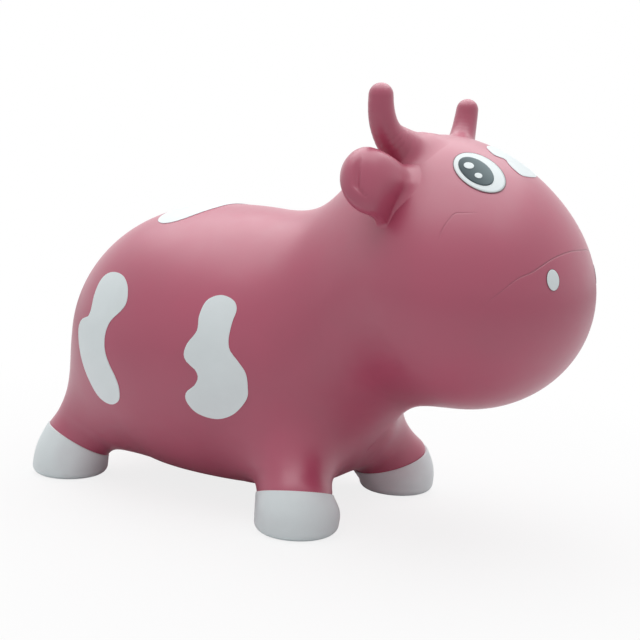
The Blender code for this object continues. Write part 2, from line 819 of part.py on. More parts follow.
def face_marks(side_name, side):
    """Eye white, pupil, two glints and nostril of one side."""
    point, normal = on_face(crown, eye_turn, eye_lift, side)
    across = Vector((-normal[1], normal[0], 0))
    place = frame(point, across, Vector(normal).cross(across))
    lean = -side * eye_lean
    pieces = [
        ("_eye", oval(eye_half_width, eye_half_height), mark_layer, white_paint),
        ("_pupil", oval(pupil_half_width, pupil_half_height, (0, pupil_rise)), pupil_layer, dark_paint),
        ("_upper_glint", oval(upper_glint_radius, upper_glint_radius, (0, upper_glint_rise), 8),
         glint_layer, white_paint),
        ("_lower_glint", oval(lower_glint_radius, lower_glint_radius, (0, -lower_glint_drop), 8),
         glint_layer, white_paint),
    ]
    for ending, points, over, finish in pieces:
        made = outline(side_name + ending, turned_points(points, lean), place, 2 * overrun, finish)
        combine(made, over, "INTERSECT")
    point, normal = on_face(muzzle, nostril_turn, nostril_lift, side)
    across = Vector((-normal[1], normal[0], 0))
    place = frame(point, across, Vector(normal).cross(across))
    made = outline(side_name + "_nostril", oval(nostril_half_width, nostril_half_height, (0, 0), 8),
                   place, 2 * overrun, white_paint)
    combine(made, mark_layer, "INTERSECT")


for side_name, side in (("left", 1), ("right", -1)):
    face_marks(side_name, side)


# Air valve

rump = np.array([ahead(rump_station), 0, rump_height])
valve_way = np.array([-math.cos(valve_drop), 0, -math.sin(valve_drop)])
valve_point = reach(body, rump, valve_way, toy_length / 2)
valve_normal = Vector(slope(body, valve_point[None])[0])
valve_place = frame(valve_point, (0, 1, 0), valve_normal.cross(Vector((0, 1, 0))))


def turned(name, profile, closed, finish, group=toy):
    """A turned piece: a profile of radius and height spun about the valve's axis."""
    mesh = bpy.data.meshes.new(name)
    edges = [(i, i + 1) for i in range(len(profile) - 1)]
    if closed:
        edges.append((len(profile) - 1, 0))
    mesh.from_pydata([(r, 0, z) for r, z in profile], edges, [])
    made = bpy.data.objects.new(name, mesh)
    made.matrix_world = valve_place
    group.objects.link(made)
    spin = made.modifiers.new("spin", "SCREW")
    spin.steps = turned_steps
    spin.render_steps = turned_steps
    spin.use_merge_vertices = True
    spin.merge_threshold = gap / 100
    spin.use_smooth_shade = True
    mesh.materials.append(finish or clear_vinyl)
    if group is cutters:
        made.hide_render = True
        made.display_type = "WIRE"
    return made


seat_top = seat_lip
seat_profile = [(seat_radius, seat_top - seat_lip / 2), (seat_radius, -seat_depth), (bore_radius, -seat_depth),
                (bore_radius, seat_top), (seat_radius - seat_lip / 2, seat_top)]
turned("valve_seat", seat_profile, True, clear_vinyl)
pocket_profile = [(0, overrun), (seat_radius + gap, overrun), (seat_radius + gap, -seat_depth - gap),
                  (0, -seat_depth - gap)]
pocket = turned("valve_pocket", pocket_profile, False, None, cutters)
for pierced in (torso, *sleeves):
    combine(pierced, pocket, "DIFFERENCE")
head_low = seat_top + gap
stem_radius = bore_radius - gap
plug_profile = [(0, head_low + plug_head_height), (plug_head_radius / 2, head_low + plug_head_height),
                (plug_head_radius, head_low + plug_head_height / 2), (plug_head_radius, head_low),
                (stem_radius, head_low), (stem_radius, head_low - plug_stem_length),
                (plug_tip_radius, head_low - plug_stem_length - plug_tip_length),
                (0, head_low - plug_stem_length - plug_tip_length)]
turned("valve_plug", plug_profile, False, clear_vinyl)
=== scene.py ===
import math

import bpy
import numpy as np
from mathutils import Matrix, Vector


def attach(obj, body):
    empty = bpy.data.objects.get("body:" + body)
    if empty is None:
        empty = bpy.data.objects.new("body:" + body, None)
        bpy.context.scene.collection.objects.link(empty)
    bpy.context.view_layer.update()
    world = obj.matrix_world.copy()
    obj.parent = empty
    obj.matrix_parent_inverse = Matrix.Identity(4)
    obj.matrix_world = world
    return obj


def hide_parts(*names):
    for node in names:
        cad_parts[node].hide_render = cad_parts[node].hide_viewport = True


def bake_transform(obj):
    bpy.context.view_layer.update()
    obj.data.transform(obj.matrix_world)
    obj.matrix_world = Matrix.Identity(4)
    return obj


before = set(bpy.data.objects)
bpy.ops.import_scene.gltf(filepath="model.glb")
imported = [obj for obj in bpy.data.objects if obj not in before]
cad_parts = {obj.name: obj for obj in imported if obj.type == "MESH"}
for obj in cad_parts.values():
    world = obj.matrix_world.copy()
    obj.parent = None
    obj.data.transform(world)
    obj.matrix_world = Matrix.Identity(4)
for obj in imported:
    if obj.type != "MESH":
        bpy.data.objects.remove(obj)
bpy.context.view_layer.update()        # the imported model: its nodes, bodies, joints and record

scene = bpy.context.scene

# Hopping cow. Metres, +X to the nose, +Y to the animal's left, +Z up, floor at zero.
# A station is a distance forward from the back of the hind hooves. Rims that run into the skin end a tuck
# under it.
toy = {"length": 0.590, "tuck": 0.0003}
bothSides = (("left", 1), ("right", -1))
forward, leftward, upward = np.eye(3)


def ahead(station):  # place along X of a station
    return station - toy["length"] / 2


# Camera, at the photograph's place

cameraSetup = {
    "turn": math.radians(32.0942), "lift": math.radians(7.3497), "roll": math.radians(2.8008),
    "target": (0.0106, 0, 0.1922), "distance": 1.1809, "lens": 63.574, "sensor": 36.0,
    "near": 0.05, "far": 40,
}


def addCamera(setup):  # turned round the target, lifted over the floor, then rolled about its own axis
    turn, lift, roll = setup["turn"], setup["lift"], setup["roll"]
    level = math.sin(turn) * forward - math.cos(turn) * leftward
    back = math.cos(lift) * level + math.sin(lift) * upward
    right = math.cos(turn) * forward + math.sin(turn) * leftward
    up = np.cross(back, right)
    right, up = math.cos(roll) * right + math.sin(roll) * up, math.cos(roll) * up - math.sin(roll) * right
    lens = bpy.data.cameras.new("camera")
    lens.lens = setup["lens"]
    lens.sensor_width = setup["sensor"]
    lens.clip_start = setup["near"]
    lens.clip_end = setup["far"]
    camera = bpy.data.objects.new("camera", lens)
    place = np.array(setup["target"]) + back * setup["distance"]
    camera.matrix_world = Matrix.Translation(place) @ Matrix((right, up, back)).transposed().to_4x4()
    scene.collection.objects.link(camera)
    scene.camera = camera


addCamera(cameraSetup)
print("camera placed")


# Ways and curves

def smooth(share):  # 3s^2 - 2s^3 between 0 and 1
    share = np.clip(share, 0, 1)
    return share * share * (3 - 2 * share)


def mirrored(points, side):  # points of the left side, or of the right for a side of -1
    return points * np.array([1, side, 1])


def unit(vectors):  # each divided by its length
    return vectors / np.maximum(np.linalg.norm(vectors, axis=-1, keepdims=True), 1e-30)


def ringAxes(normal):  # two directions square to a normal, the first as near as can be to forward
    first = unit(forward - normal * (forward @ normal))
    return first, np.cross(normal, first)


def turns(sides):  # even angles round a circle
    return np.linspace(0, 2 * math.pi, sides, endpoint=False)


def circle(sides, first, second):  # ways round a circle, from the first direction towards the second
    turn = turns(sides)[:, None]
    return np.cos(turn) * first + np.sin(turn) * second


def quadratic(points, share):
    # curve from the first point to the last, which sets out for the middle one and ends away from it, and its
    # headings
    first, middle, last = np.array(points)
    s = np.atleast_1d(share)[:, None]
    centre = first * (1 - s)**2 + middle * 2 * s * (1 - s) + last * s**2
    return centre, unit((middle - first) * (1 - s) + (last - middle) * s)


def cubic(p0, p1, p2, p3, t):  # from p1 to p2, and its slope at each is half the step between its neighbours
    return 0.5 * (2 * p1 + (p2 - p0) * t + (2 * p0 - 5 * p1 + 4 * p2 - p3) * t**2
                  + (3 * p1 - p0 - 3 * p2 + p3) * t**3)


# Skin fields: about the distance to the skin, less than zero inside

def softUnion(a, b, blend):  # lesser of two distances, less a fillet that ends where they differ by the blend
    near = np.maximum(blend - np.abs(a - b), 0) / blend
    return np.minimum(a, b) - near * near * blend / 4


def egg(points, centre, radii, lift=0.0):
    # k(k-1)/g, where k is the length counted in radii and g is the length counted in their squares
    away = points - np.array(centre)
    x = away[:, 0] * math.cos(lift) + away[:, 2] * math.sin(lift)
    z = away[:, 2] * math.cos(lift) - away[:, 0] * math.sin(lift)
    local = np.stack([x, away[:, 1], z], axis=1)
    once = np.linalg.norm(local / radii, axis=1)
    return once * (once - 1) / (np.linalg.norm(local / np.square(radii), axis=1) + 1e-5)


def bar(points, start, end, startRadius, endRadius):  # distance to a line, less a radius that changes evenly
    start, end = np.array(start), np.array(end)
    along = end - start
    share = np.clip((points - start) @ along / (along @ along), 0, 1)
    return np.linalg.norm(points - start - share[:, None] * along, axis=1) \
        - startRadius - (endRadius - startRadius) * share


trunk = {
    "rump": ((ahead(0.1305), 0, 0.1585), (0.106, 0.1405, 0.1245)),
    "chest": ((ahead(0.2875), 0, 0.1545), (0.1115, 0.111, 0.128)),
    "crown": ((ahead(0.4265), 0, 0.288), (0.0845, 0.073, 0.0895)),
    "muzzle": ((ahead(0.4795), 0, 0.233), (0.1105, 0.1215, 0.105)),
    "muzzleLift": math.radians(4.6),
    "bodyBlend": 0.190, "neckBlend": 0.085, "headBlend": 0.110,
    "bellyClearance": 0.0105, "bellyBlend": 0.020,
    "rows": 200, "columns": 176,
}


def trunkField(points):  # four eggs run together, above a soft flat belly
    body = softUnion(egg(points, *trunk["rump"]), egg(points, *trunk["chest"]), trunk["bodyBlend"])
    head = softUnion(egg(points, *trunk["muzzle"], trunk["muzzleLift"]), egg(points, *trunk["crown"]),
                     trunk["headBlend"])
    whole = softUnion(body, head, trunk["neckBlend"])
    return -softUnion(-whole, points[:, 2] - trunk["bellyClearance"], trunk["bellyBlend"])


def slope(field, points, step=0.00016):  # direction in which a field grows fastest, by central differences
    return unit(np.stack([field(points + way) - field(points - way) for way in np.eye(3) * step], axis=1))


def settle(field, points, level=0.0, rounds=10, longest=0.01):
    # points moved along the slope until the field has a level
    for _ in range(rounds):
        points = points - np.clip(field(points) - level, -longest, longest)[:, None] * slope(field, points)
    return points


def settleOnBoth(first, firstLevel, second, secondLevel, points, rounds=24):
    for _ in range(rounds):  # turn by turn onto two fields, so onto the line where they meet
        points = settle(first, settle(second, points, secondLevel, 1), firstLevel, 1)
    return points


legs = {
    "ankleRadius": 0.0365, "hipRadius": 0.0375, "blend": 0.050, "hipHeight": 0.123,
    "collarHeight": 0.040, "collarInset": 0.010,
    "front": {"foot": (ahead(0.3530), 0.1005), "hip": (ahead(0.2755), 0.018), "lean": math.radians(122),
              "rimHeight": 0.0330, "rimInset": 0.0110, "rimLean": math.radians(122),
              "rimTilt": math.radians(19.5), "ankleBack": 0.0050},
    "hind": {"foot": (ahead(0.0435), 0.092), "hip": (ahead(0.110), 0.0625), "lean": math.radians(24),
             "rimHeight": 0.0385, "rimInset": 0.0100, "rimLean": math.radians(46),
             "rimTilt": math.radians(28.5), "ankleBack": 0.0},
    "sides": 72, "tubeRows": 21, "tubeEnd": 0.024, "sunkInHoof": 0.006, "squaring": 1.4,
    "flareRows": 22, "flareReach": 0.047, "flareSpread": 0.05, "bendLength": 0.026,
    "drawnIn": 0.0045, "drawnInShare": 0.2, "rimBlend": 0.022, "rimReach": 0.024,
}


def legPlaces(pair, side):
    # foot on the floor, collar above it, axis from there to the hip, and middle and normal of the hoof's rim,
    # which leans inward by its tilt
    spec = legs[pair]

    def inward(angle):
        return math.cos(angle) * forward - side * math.sin(angle) * leftward
    foot = mirrored(np.array([*spec["foot"], 0]), side)
    hip = mirrored(np.array([*spec["hip"], legs["hipHeight"]]), side)
    collar = foot + inward(spec["lean"]) * legs["collarInset"] + legs["collarHeight"] * upward
    collar = collar - spec["ankleBack"] * forward
    axis = unit(hip - collar)
    rim = foot + inward(spec["rimLean"]) * spec["rimInset"] + spec["rimHeight"] * upward
    normal = math.sin(spec["rimTilt"]) * inward(spec["rimLean"]) + math.cos(spec["rimTilt"]) * upward
    return dict(foot=foot, collar=collar, hip=hip, axis=axis, rim=rim, normal=normal,
                ankle=collar - axis * legs["ankleRadius"] / 2)


def legField(place):  # a bar from ankle to hip
    return lambda points: bar(points, place["ankle"], place["hip"], legs["ankleRadius"], legs["hipRadius"])


def bodyField(points):  # trunk with its legs run in, pair by pair
    whole = trunkField(points)
    for pair in ("front", "hind"):
        both = softUnion(legField(legPlaces(pair, 1))(points), legField(legPlaces(pair, -1))(points),
                         legs["blend"])
        whole = softUnion(whole, both, legs["blend"])
    return whole


def reach(field, start, ways, first=0.04, longest=0.32):
    # where lines that leave a point inside cross the skin: each grows by most of the distance still to go
    length = np.full(len(ways), first)
    for _ in range(60):
        length = np.clip(length - 0.8 * field(start + ways * length[:, None]), 0, longest)
    return start + ways * length[:, None]


# Making pieces

def gridFaces(rows, columns, closed, ring):  # quads between neighbours of a grid
    number = np.arange(rows * columns).reshape(rows, columns)
    if ring:
        number = np.concatenate([number, number[:1]])
    right = np.roll(number, -1, axis=1)
    if not closed:
        number, right = number[:, :-1], right[:, :-1]
    return np.stack([number[:-1], right[:-1], right[1:], number[1:]], axis=-1).reshape(-1, 4)


def surface(name, grid, finish, closed=True, ring=False, caps=(False, False), normals=None, ends=()):
    # a mesh over a grid of points, joined round its columns where closed and round its rows where a ring,
    # with a fan at each capped end; its faces turn to the side of the given normals, or else outwards, and
    # ends are the normals at the middles of the fans
    rows, columns = grid.shape[:2]
    points = grid.reshape(-1, 3)
    quads = gridFaces(rows, columns, closed, ring)
    fans = []
    for row, capped in ((0, caps[0]), (rows - 1, caps[1])):
        if capped:
            ring = row * columns + np.arange(columns)
            onward = np.roll(ring, -1)
            pair = (onward, ring) if row == 0 else (ring, onward)
            fans.append(np.stack([*pair, np.full(columns, len(points))], axis=1))
            points = np.concatenate([points, grid[row].mean(axis=0)[None]])
    a, b, c = points[quads[:, 0]], points[quads[:, 1]], points[quads[:, 2]]
    crossed = np.cross(b - a, c - a)
    if normals is None:
        turned = np.sum(crossed * (a - points.mean(axis=0))) < 0
    else:
        turned = np.sum(crossed * normals.reshape(-1, 3)[quads[:, 0]]) < 0
    faces = [f[:, ::-1].tolist() if turned else f.tolist() for f in [quads, *fans]]
    mesh = bpy.data.meshes.new(name)
    mesh.from_pydata(points.tolist(), [], sum(faces, []))
    mesh.shade_smooth()
    if normals is not None:
        normals = np.concatenate([normals.reshape(-1, 3), np.reshape(ends, (-1, 3))])
        mesh.normals_split_custom_set_from_vertices(normals.tolist())
    mesh.materials.append(finish)
    piece = bpy.data.objects.new(name, mesh)
    scene.collection.objects.link(piece)
    return piece


def thicken(piece, thickness):  # a wall behind the sheet
    wall = piece.modifiers.new("wall", "SOLIDIFY")
    wall.thickness = thickness
    wall.offset = -1


def paintOn(piece, name, values):  # a value at every vertex, read by the piece's finish
    piece.data.attributes.new(name, "FLOAT", "POINT").data.foreach_set("value", values)


# Finishes

def put(value, target):  # another node's socket is linked, and a plain value is set
    if isinstance(value, bpy.types.NodeSocket):
        target.id_data.links.new(value, target)
    else:
        target.default_value = value


def give(node, *ordered, **named):
    # values for a node's inputs, in order or by name, where set_ stands before a property; gives its outputs
    for name, value in named.items():
        if name.startswith("set_"):
            setattr(node, name[4:], value)
        else:
            put(value, node.inputs[name.replace("_", " ")])
    for value, target in zip(ordered, node.inputs):
        put(value, target)
    return node.outputs


def add(tree, kind, *ordered, **named):  # a new shader node with its values; gives its outputs
    return give(tree.nodes.new("ShaderNode" + kind), *ordered, **named)


def maths(tree, operation, *values):  # one number from others
    return add(tree, "Math", *values, set_operation=operation)[0]


def ranged(tree, value, low, high, newLow, newHigh):  # a range of values stretched onto another
    return add(tree, "MapRange", Value=value, From_Min=low, From_Max=high, To_Min=newLow, To_Max=newHigh)[0]


mottleLook = {  # each noise's scale, detail, roughness and distortion, then the ranges made of them
    "drift": (9.0, 3.0, 0.5, 0.0), "patch": (46.0, 5.0, 0.62, 0.0), "grain": (1500.0, 2.0, 0.5, 0.0),
    "streak": (130.0, 6.0, 0.7, 1.4), "middle": (0.3, 0.7), "driftLight": (0.955, 1.045),
    "patchLight": (0.985, 1.015), "patchRough": (-0.04, 0.05), "scuffed": (0.66, 0.80),
}


def mottleGroup():
    # colour drift, fine grain and faint scuffs of moulded vinyl, from noises on Object coordinates
    tree = bpy.data.node_groups.new("vinylMottle", "ShaderNodeTree")
    for name, way, kind in (("Colour", "INPUT", "Color"), ("Scuff Colour", "INPUT", "Color"),
                            ("Scuffs", "INPUT", "Float"), ("Colour", "OUTPUT", "Color"),
                            ("Roughness Drift", "OUTPUT", "Float"), ("Grain", "OUTPUT", "Float")):
        tree.interface.new_socket(name, in_out=way, socket_type="NodeSocket" + kind)
    given = tree.nodes.new("NodeGroupInput").outputs
    place = add(tree, "TexCoord")["Object"]
    noise = {}
    for name in ("drift", "patch", "grain", "streak"):
        scale, detail, roughness, distortion = mottleLook[name]
        noise[name] = add(tree, "TexNoise", Vector=place, Scale=scale, Detail=detail, Roughness=roughness,
                          Distortion=distortion)["Fac"]
    light = ranged(tree, noise["drift"], *mottleLook["middle"], *mottleLook["driftLight"])
    fleck = ranged(tree, noise["patch"], *mottleLook["middle"], *mottleLook["patchLight"])
    shade = add(tree, "HueSaturation", Value=maths(tree, "MULTIPLY", light, fleck), Color=given["Colour"])
    scuff = ranged(tree, noise["streak"], *mottleLook["scuffed"], 0.0, 1.0)
    mixed = add(tree, "Mix", set_data_type="RGBA", Factor=maths(tree, "MULTIPLY", scuff, given["Scuffs"]),
                A=shade["Color"], B=given["Scuff Colour"])
    rough = ranged(tree, noise["patch"], *mottleLook["middle"], *mottleLook["patchRough"])
    give(tree.nodes.new("NodeGroupOutput"), Colour=mixed["Result"], Roughness_Drift=rough,
         Grain=noise["grain"])
    return tree


mottle = mottleGroup()


def newFinish(name):  # a material, its nodes and its shader
    finish = bpy.data.materials.new(name)
    finish.use_nodes = True
    return finish, finish.node_tree, finish.node_tree.nodes["Principled BSDF"]


def mottled(tree, colour, look):  # the group's outputs, and a normal from its grain
    spots = add(tree, "Group", set_node_tree=mottle, Colour=colour, Scuff_Colour=(*look["scuffColour"], 1),
                Scuffs=look["scuffs"])
    grain = add(tree, "Bump", Strength=look["grain"], Distance=0.00004, Height=spots["Grain"])
    return spots, grain["Normal"]


def vinyl(name, look):
    # satin soft vinyl or paint; a moulded line is a groove, its depth times exp(-away^2), by two attributes,
    # dented by a bump and darkened with painted shade
    finish, tree, shader = newFinish(name)
    spots, normal = mottled(tree, (*look["colour"], 1), look)
    colour = spots["Colour"]
    if "lineDepth" in look:
        away = add(tree, "Attribute", set_attribute_name="lineAway")["Fac"]
        depth = add(tree, "Attribute", set_attribute_name="lineDepth")["Fac"]
        fall = maths(tree, "MULTIPLY", maths(tree, "MULTIPLY", away, away), -1.0)
        groove = maths(tree, "MULTIPLY", maths(tree, "EXPONENT", fall), depth)
        # painted shade in each groove: the colour is mixed towards a dark colour by the groove's depth
        paintedGrooveShade = maths(tree, "MULTIPLY", groove, look["grooveShadeAmount"])
        colour = add(tree, "Mix", set_data_type="RGBA", Factor=paintedGrooveShade, A=colour,
                     B=(*look["grooveShadeColour"], 1))["Result"]
        normal = add(tree, "Bump", set_invert=True, Strength=1.0, Distance=look["lineDepth"], Height=groove,
                     Normal=normal)["Normal"]
    give(shader, Base_Color=colour, Roughness=maths(tree, "ADD", spots["Roughness Drift"], look["roughness"]),
         Normal=normal, Specular_IOR_Level=look["gloss"], Coat_Weight=look["coat"],
         Coat_Roughness=look["coatRoughness"])
    return finish


pinkLook = {
    "colour": (0.430, 0.055, 0.120), "scuffColour": (0.58, 0.28, 0.33), "scuffs": 0.10,
    "roughness": 0.50, "gloss": 0.70, "coat": 0.85, "coatRoughness": 0.35, "grain": 0.35,
}
pinkVinyl = vinyl("pinkVinyl", pinkLook)
# pink vinyl whose moulded lines are darkened with painted shade
pinkLined = vinyl("pinkLinedVinyl", {**pinkLook, "grooveShadeColour": (0.22, 0.040, 0.075), "lineDepth": 0.0007,
                                     "grooveShadeAmount": 0.35})
whitePaint = vinyl("whitePaint", {
    "colour": (0.84, 0.915, 0.930), "scuffColour": (0.62, 0.60, 0.60), "scuffs": 0.18,
    "roughness": 0.42, "gloss": 0.50, "coat": 0.0, "coatRoughness": 0.3, "grain": 0.25,
})
linePaint = vinyl("darkLinePaint", {
    "colour": (0.190, 0.105, 0.120), "scuffColour": (0.2, 0.1, 0.12), "scuffs": 0.1,
    "roughness": 0.5, "gloss": 0.4, "coat": 0.0, "coatRoughness": 0.3, "grain": 0.2,
})


def pupilFinish(look):  # dark grey-green paint with a painted reflection: it pales to one side of the eye, by an attribute
    finish, tree, shader = newFinish("pupilPaint")
    paintedReflectionColour = (*look["scuffColour"], 1)
    mixed = add(tree, "Mix", set_data_type="RGBA", A=(*look["colour"], 1), B=paintedReflectionColour,
                Factor=add(tree, "Attribute", set_attribute_name="pupilReflectionShare")["Fac"])
    spots, normal = mottled(tree, mixed["Result"], look)
    give(shader, Base_Color=spots["Colour"], Normal=normal, Specular_IOR_Level=look["gloss"],
         Roughness=maths(tree, "ADD", spots["Roughness Drift"], look["roughness"]))
    return finish


# the scuff colour here is also the pale end of the pupil's painted reflection
pupilPaint = pupilFinish({
    "colour": (0.045, 0.070, 0.082), "scuffColour": (0.190, 0.250, 0.265), "scuffs": 0.1,
    "roughness": 0.50, "gloss": 0.20, "grain": 0.2,
})


def valveFinish(look):  # milky, slightly see-through soft vinyl
    finish, tree, shader = newFinish("milkyVinyl")
    spots, normal = mottled(tree, (*look["colour"], 1), look)
    give(shader, Base_Color=spots["Colour"], Normal=normal, Roughness=look["roughness"],
         Transmission_Weight=look["seeThrough"])
    return finish


milkyVinyl = valveFinish({
    "colour": (0.78, 0.78, 0.74), "scuffColour": (0.60, 0.58, 0.54), "scuffs": 0.2,
    "roughness": 0.30, "seeThrough": 0.25, "grain": 0.2,
})
print("finishes made")


# Valve place, which the skin's rows start from

valve = {
    "drop": math.radians(48), "seatRadius": 0.0120, "seatDepth": 0.0200, "lip": 0.0015, "bore": 0.0050,
    "headRadius": 0.0088, "headHeight": 0.0030, "stem": 0.0160, "tip": 0.0030, "tipRadius": 0.0038,
    "gap": 0.0003, "sides": 64, "hollow": 0.0006, "seatEdge": 0.0004, "sharp": math.radians(38),
    # steps of the plug's stem: past its radius, and below its head
    "stemSteps": ((0.0005, 0), (0, 0.0005), (0, 0.004), (-0.0004, 0.0048), (-0.0004, 0.0062), (0, 0.007)),
}
valveWay = np.array([-math.cos(valve["drop"]), 0, -math.sin(valve["drop"])])
valvePoint = reach(bodyField, np.array(trunk["rump"][0]), valveWay[None])[0]
valveNormal = slope(bodyField, valvePoint[None])[0]
valveUp = np.cross(leftward, valveNormal)


# Moulded lines: a mouth crease across the muzzle, a fold behind each cheek and the strands of a forelock
# between the horns, as places on the skin; the skin's finish dents them and darkens them with painted shade

lines = {
    "mouth": [(0.2862, 0.0, 0.2862), (0.2838, -0.0232, 0.2854), (0.2783, -0.0493, 0.2797),
              (0.2699, -0.0723, 0.2686), (0.2619, -0.0852, 0.2625), (0.2547, -0.0948, 0.2538),
              (0.2493, -0.1005, 0.2476), (0.2395, -0.1081, 0.2377)],
    "mouthDepths": [1.0, 1.0, 0.95, 0.9, 0.75, 0.5, 0.4, 0.0],
    "cheek": [(0.2167, -0.0892, 0.3162), (0.2100, -0.0930, 0.3158), (0.2040, -0.0962, 0.3150),
              (0.2008, -0.1013, 0.3092), (0.1988, -0.1058, 0.3031), (0.1977, -0.1095, 0.2979),
              (0.1977, -0.1133, 0.2893)],
    "cheekDepths": [0.2, 0.45, 0.65, 0.6, 0.6, 0.5, 0.0],
    "lock": [(0.1240, -0.0215, 0.382), (0.1290, -0.0195, 0.383), (0.1345, -0.0180, 0.384),
             (0.1400, -0.0165, 0.385), (0.1450, -0.0155, 0.385)],
    "lockDepths": [0.0, 0.3, 0.35, 0.3, 0.0],
    "curl": [(0.1530, -0.0245, 0.382), (0.1565, -0.0226, 0.3826), (0.1600, -0.0208, 0.3823),
             (0.1640, -0.0175, 0.382)],
    "curlDepths": [0.0, 0.35, 0.35, 0.0],
    "fold": [(0.1500, -0.0360, 0.379), (0.1560, -0.0270, 0.381), (0.1620, -0.0140, 0.382),
             (0.1670, -0.0040, 0.383), (0.1710, 0.0060, 0.384)],
    "foldDepths": [0.0, 0.10, 0.20, 0.20, 0.0],
    "halfWidth": 0.00065, "near": 0.005, "far": 0.009, "search": 0.03,
}


def alongLine(knots, depths, steps=12):  # a smooth line through knots, with its depth as a fourth value
    values = np.concatenate([np.array(knots), np.array(depths)[:, None]], axis=1)
    ends = np.concatenate([[2 * values[0] - values[1]], values, [2 * values[-1] - values[-2]]])
    t = np.linspace(0, 1, steps, endpoint=False)[:, None, None]
    rows = cubic(ends[:-3], ends[1:-2], ends[2:-1], ends[3:], t)
    return np.concatenate([np.moveaxis(rows, 0, 1).reshape(-1, 4), values[-1:]])


def lineMasks(points, normals):
    # signed distance to the nearest moulded line, in half widths of a line, and that line's depth, which
    # fades from a near to a far distance
    away = np.full(len(points), 1.0)
    depth = np.zeros(len(points))
    least = np.full(len(points), np.inf)
    for name in ("mouth", "cheek", "lock", "curl", "fold"):
        for side in (1, -1):
            line = alongLine(lines[name], lines[name + "Depths"])
            line[:, 1] *= side
            line[:, :3] = settle(bodyField, line[:, :3])
            offset = np.abs(points[:, None] - line[None, ::8, :3]).max(axis=2).min(axis=1)
            close = np.nonzero(offset < lines["search"])[0]
            start, step = line[:-1, :3], np.diff(line[:, :3], axis=0)
            gone = points[close][:, None] - start
            share = np.clip(np.sum(gone * step, axis=2) / np.sum(step**2, axis=1), 0, 1)
            gone = gone - share[..., None] * step
            length = np.linalg.norm(gone, axis=2)
            best = np.argmin(length, axis=1)
            rows = np.arange(len(close))
            length = length[rows, best]
            sign = np.sign(np.sum(np.cross(step[best], normals[close]) * gone[rows, best], axis=1))
            strength = line[:-1, 3][best] + np.diff(line[:, 3])[best] * share[rows, best]
            strength *= 1 - smooth((length - lines["near"]) / (lines["far"] - lines["near"]))
            nearer = length < least[close]
            changed = close[nearer]
            least[changed] = length[nearer]
            away[changed] = (sign * length)[nearer] / lines["halfWidth"]
            depth[changed] = strength[nearer]
    return away, depth


# Skin of trunk and head. Lines leave a spine from rump to head: their angle from the tail grows
# with u from 0 to half a turn, they turn round the spine with v, and each ends on the skin.

skinRows = {
    "spine": ((-0.158, 0, 0.158), (-0.010, 0, 0.150), (0.165, 0, 0.262)),
    "spineFrom": 0.2, "spineLength": 0.6, "crowding": 0.45,
    "headLean": math.radians(24), "noseDrop": math.radians(4),
    "tailTo": 0.42, "headFrom": 0.45, "headLength": 0.25, "noseFrom": 0.72, "noseLength": 0.28,
    # rows sunk round the valve's seat, in shares of its radius and depth, then one on the skin around them
    "pit": ((0.30, 1.05), (0.80, 1.05), (0.86, 0.30), (0.97, 0.02)), "skirt": 1.12, "clear": 1.25,
}


def trunkGrid():  # the rows' axis leans as the valve at the tail, up through the head and down at the nose
    u = np.linspace(0, 1, trunk["rows"])[:, None, None]
    v = turns(trunk["columns"])[None, :, None]
    angle = math.pi * u + skinRows["crowding"] * np.sin(2 * math.pi * u)
    head = smooth((u - skinRows["headFrom"]) / skinRows["headLength"])
    nose = smooth((u - skinRows["noseFrom"]) / skinRows["noseLength"])
    lean = (valve["drop"] * (1 - smooth(u / skinRows["tailTo"])) + skinRows["headLean"] * head * (1 - nose)
            - skinRows["noseDrop"] * nose)
    share = smooth((u.ravel() - skinRows["spineFrom"]) / skinRows["spineLength"])
    centre = quadratic(skinRows["spine"], share)[0]
    axis = np.cos(lean) * forward + np.sin(lean) * upward
    up = np.cos(lean) * upward - np.sin(lean) * forward
    ways = -np.cos(angle) * axis + np.sin(angle) * (np.cos(v) * up + np.sin(v) * leftward)
    start = np.broadcast_to(centre[:, None], ways.shape).reshape(-1, 3)
    return reach(trunkField, start, ways.reshape(-1, 3)).reshape(ways.shape)


def trunkPiece():  # the grid past the valve, behind rows that sink round its seat
    points = trunkGrid()
    gone = points - valvePoint
    radial = np.linalg.norm(gone - (gone @ valveNormal)[..., None] * valveNormal, axis=2)
    firstClear = int(np.argmax(radial.min(axis=1) > valve["seatRadius"] * skinRows["clear"]))
    ring = circle(trunk["columns"], valveUp, leftward) * valve["seatRadius"]
    pit = [valvePoint + ring * radius - valveNormal * valve["seatDepth"] * depth
           for radius, depth in skinRows["pit"]]
    skirt = settle(trunkField, valvePoint + ring * skinRows["skirt"])
    grid = np.concatenate([np.stack([*pit, skirt]), points[firstClear:-1]])
    flat = grid.reshape(-1, 3)
    normals = slope(bodyField, flat)
    nose = slope(bodyField, grid[-1].mean(axis=0)[None])
    piece = surface("skin", grid, pinkLined, caps=(True, True), normals=normals, ends=[valveNormal, nose[0]])
    away, depth = lineMasks(flat, normals)
    paintOn(piece, "lineAway", np.concatenate([away, [1.0, 1.0]]))
    paintOn(piece, "lineDepth", np.concatenate([depth, [0.0, 0.0]]))
    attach(piece, "body")
    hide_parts("torso", "head")


trunkPiece()
print("skin made")


def ankleField(place):  # the body, but with the leg run in more tightly near the hoof's rim
    def field(points):
        height = (points - place["rim"]) @ place["normal"]
        tight = softUnion(trunkField(points), legField(place)(points), legs["rimBlend"])
        share = smooth(height / legs["rimReach"])
        return tight + (bodyField(points) - tight) * share
    return field


# Limbs that run into the skin: rings settle on the joined field, then spread to a rim under the skin

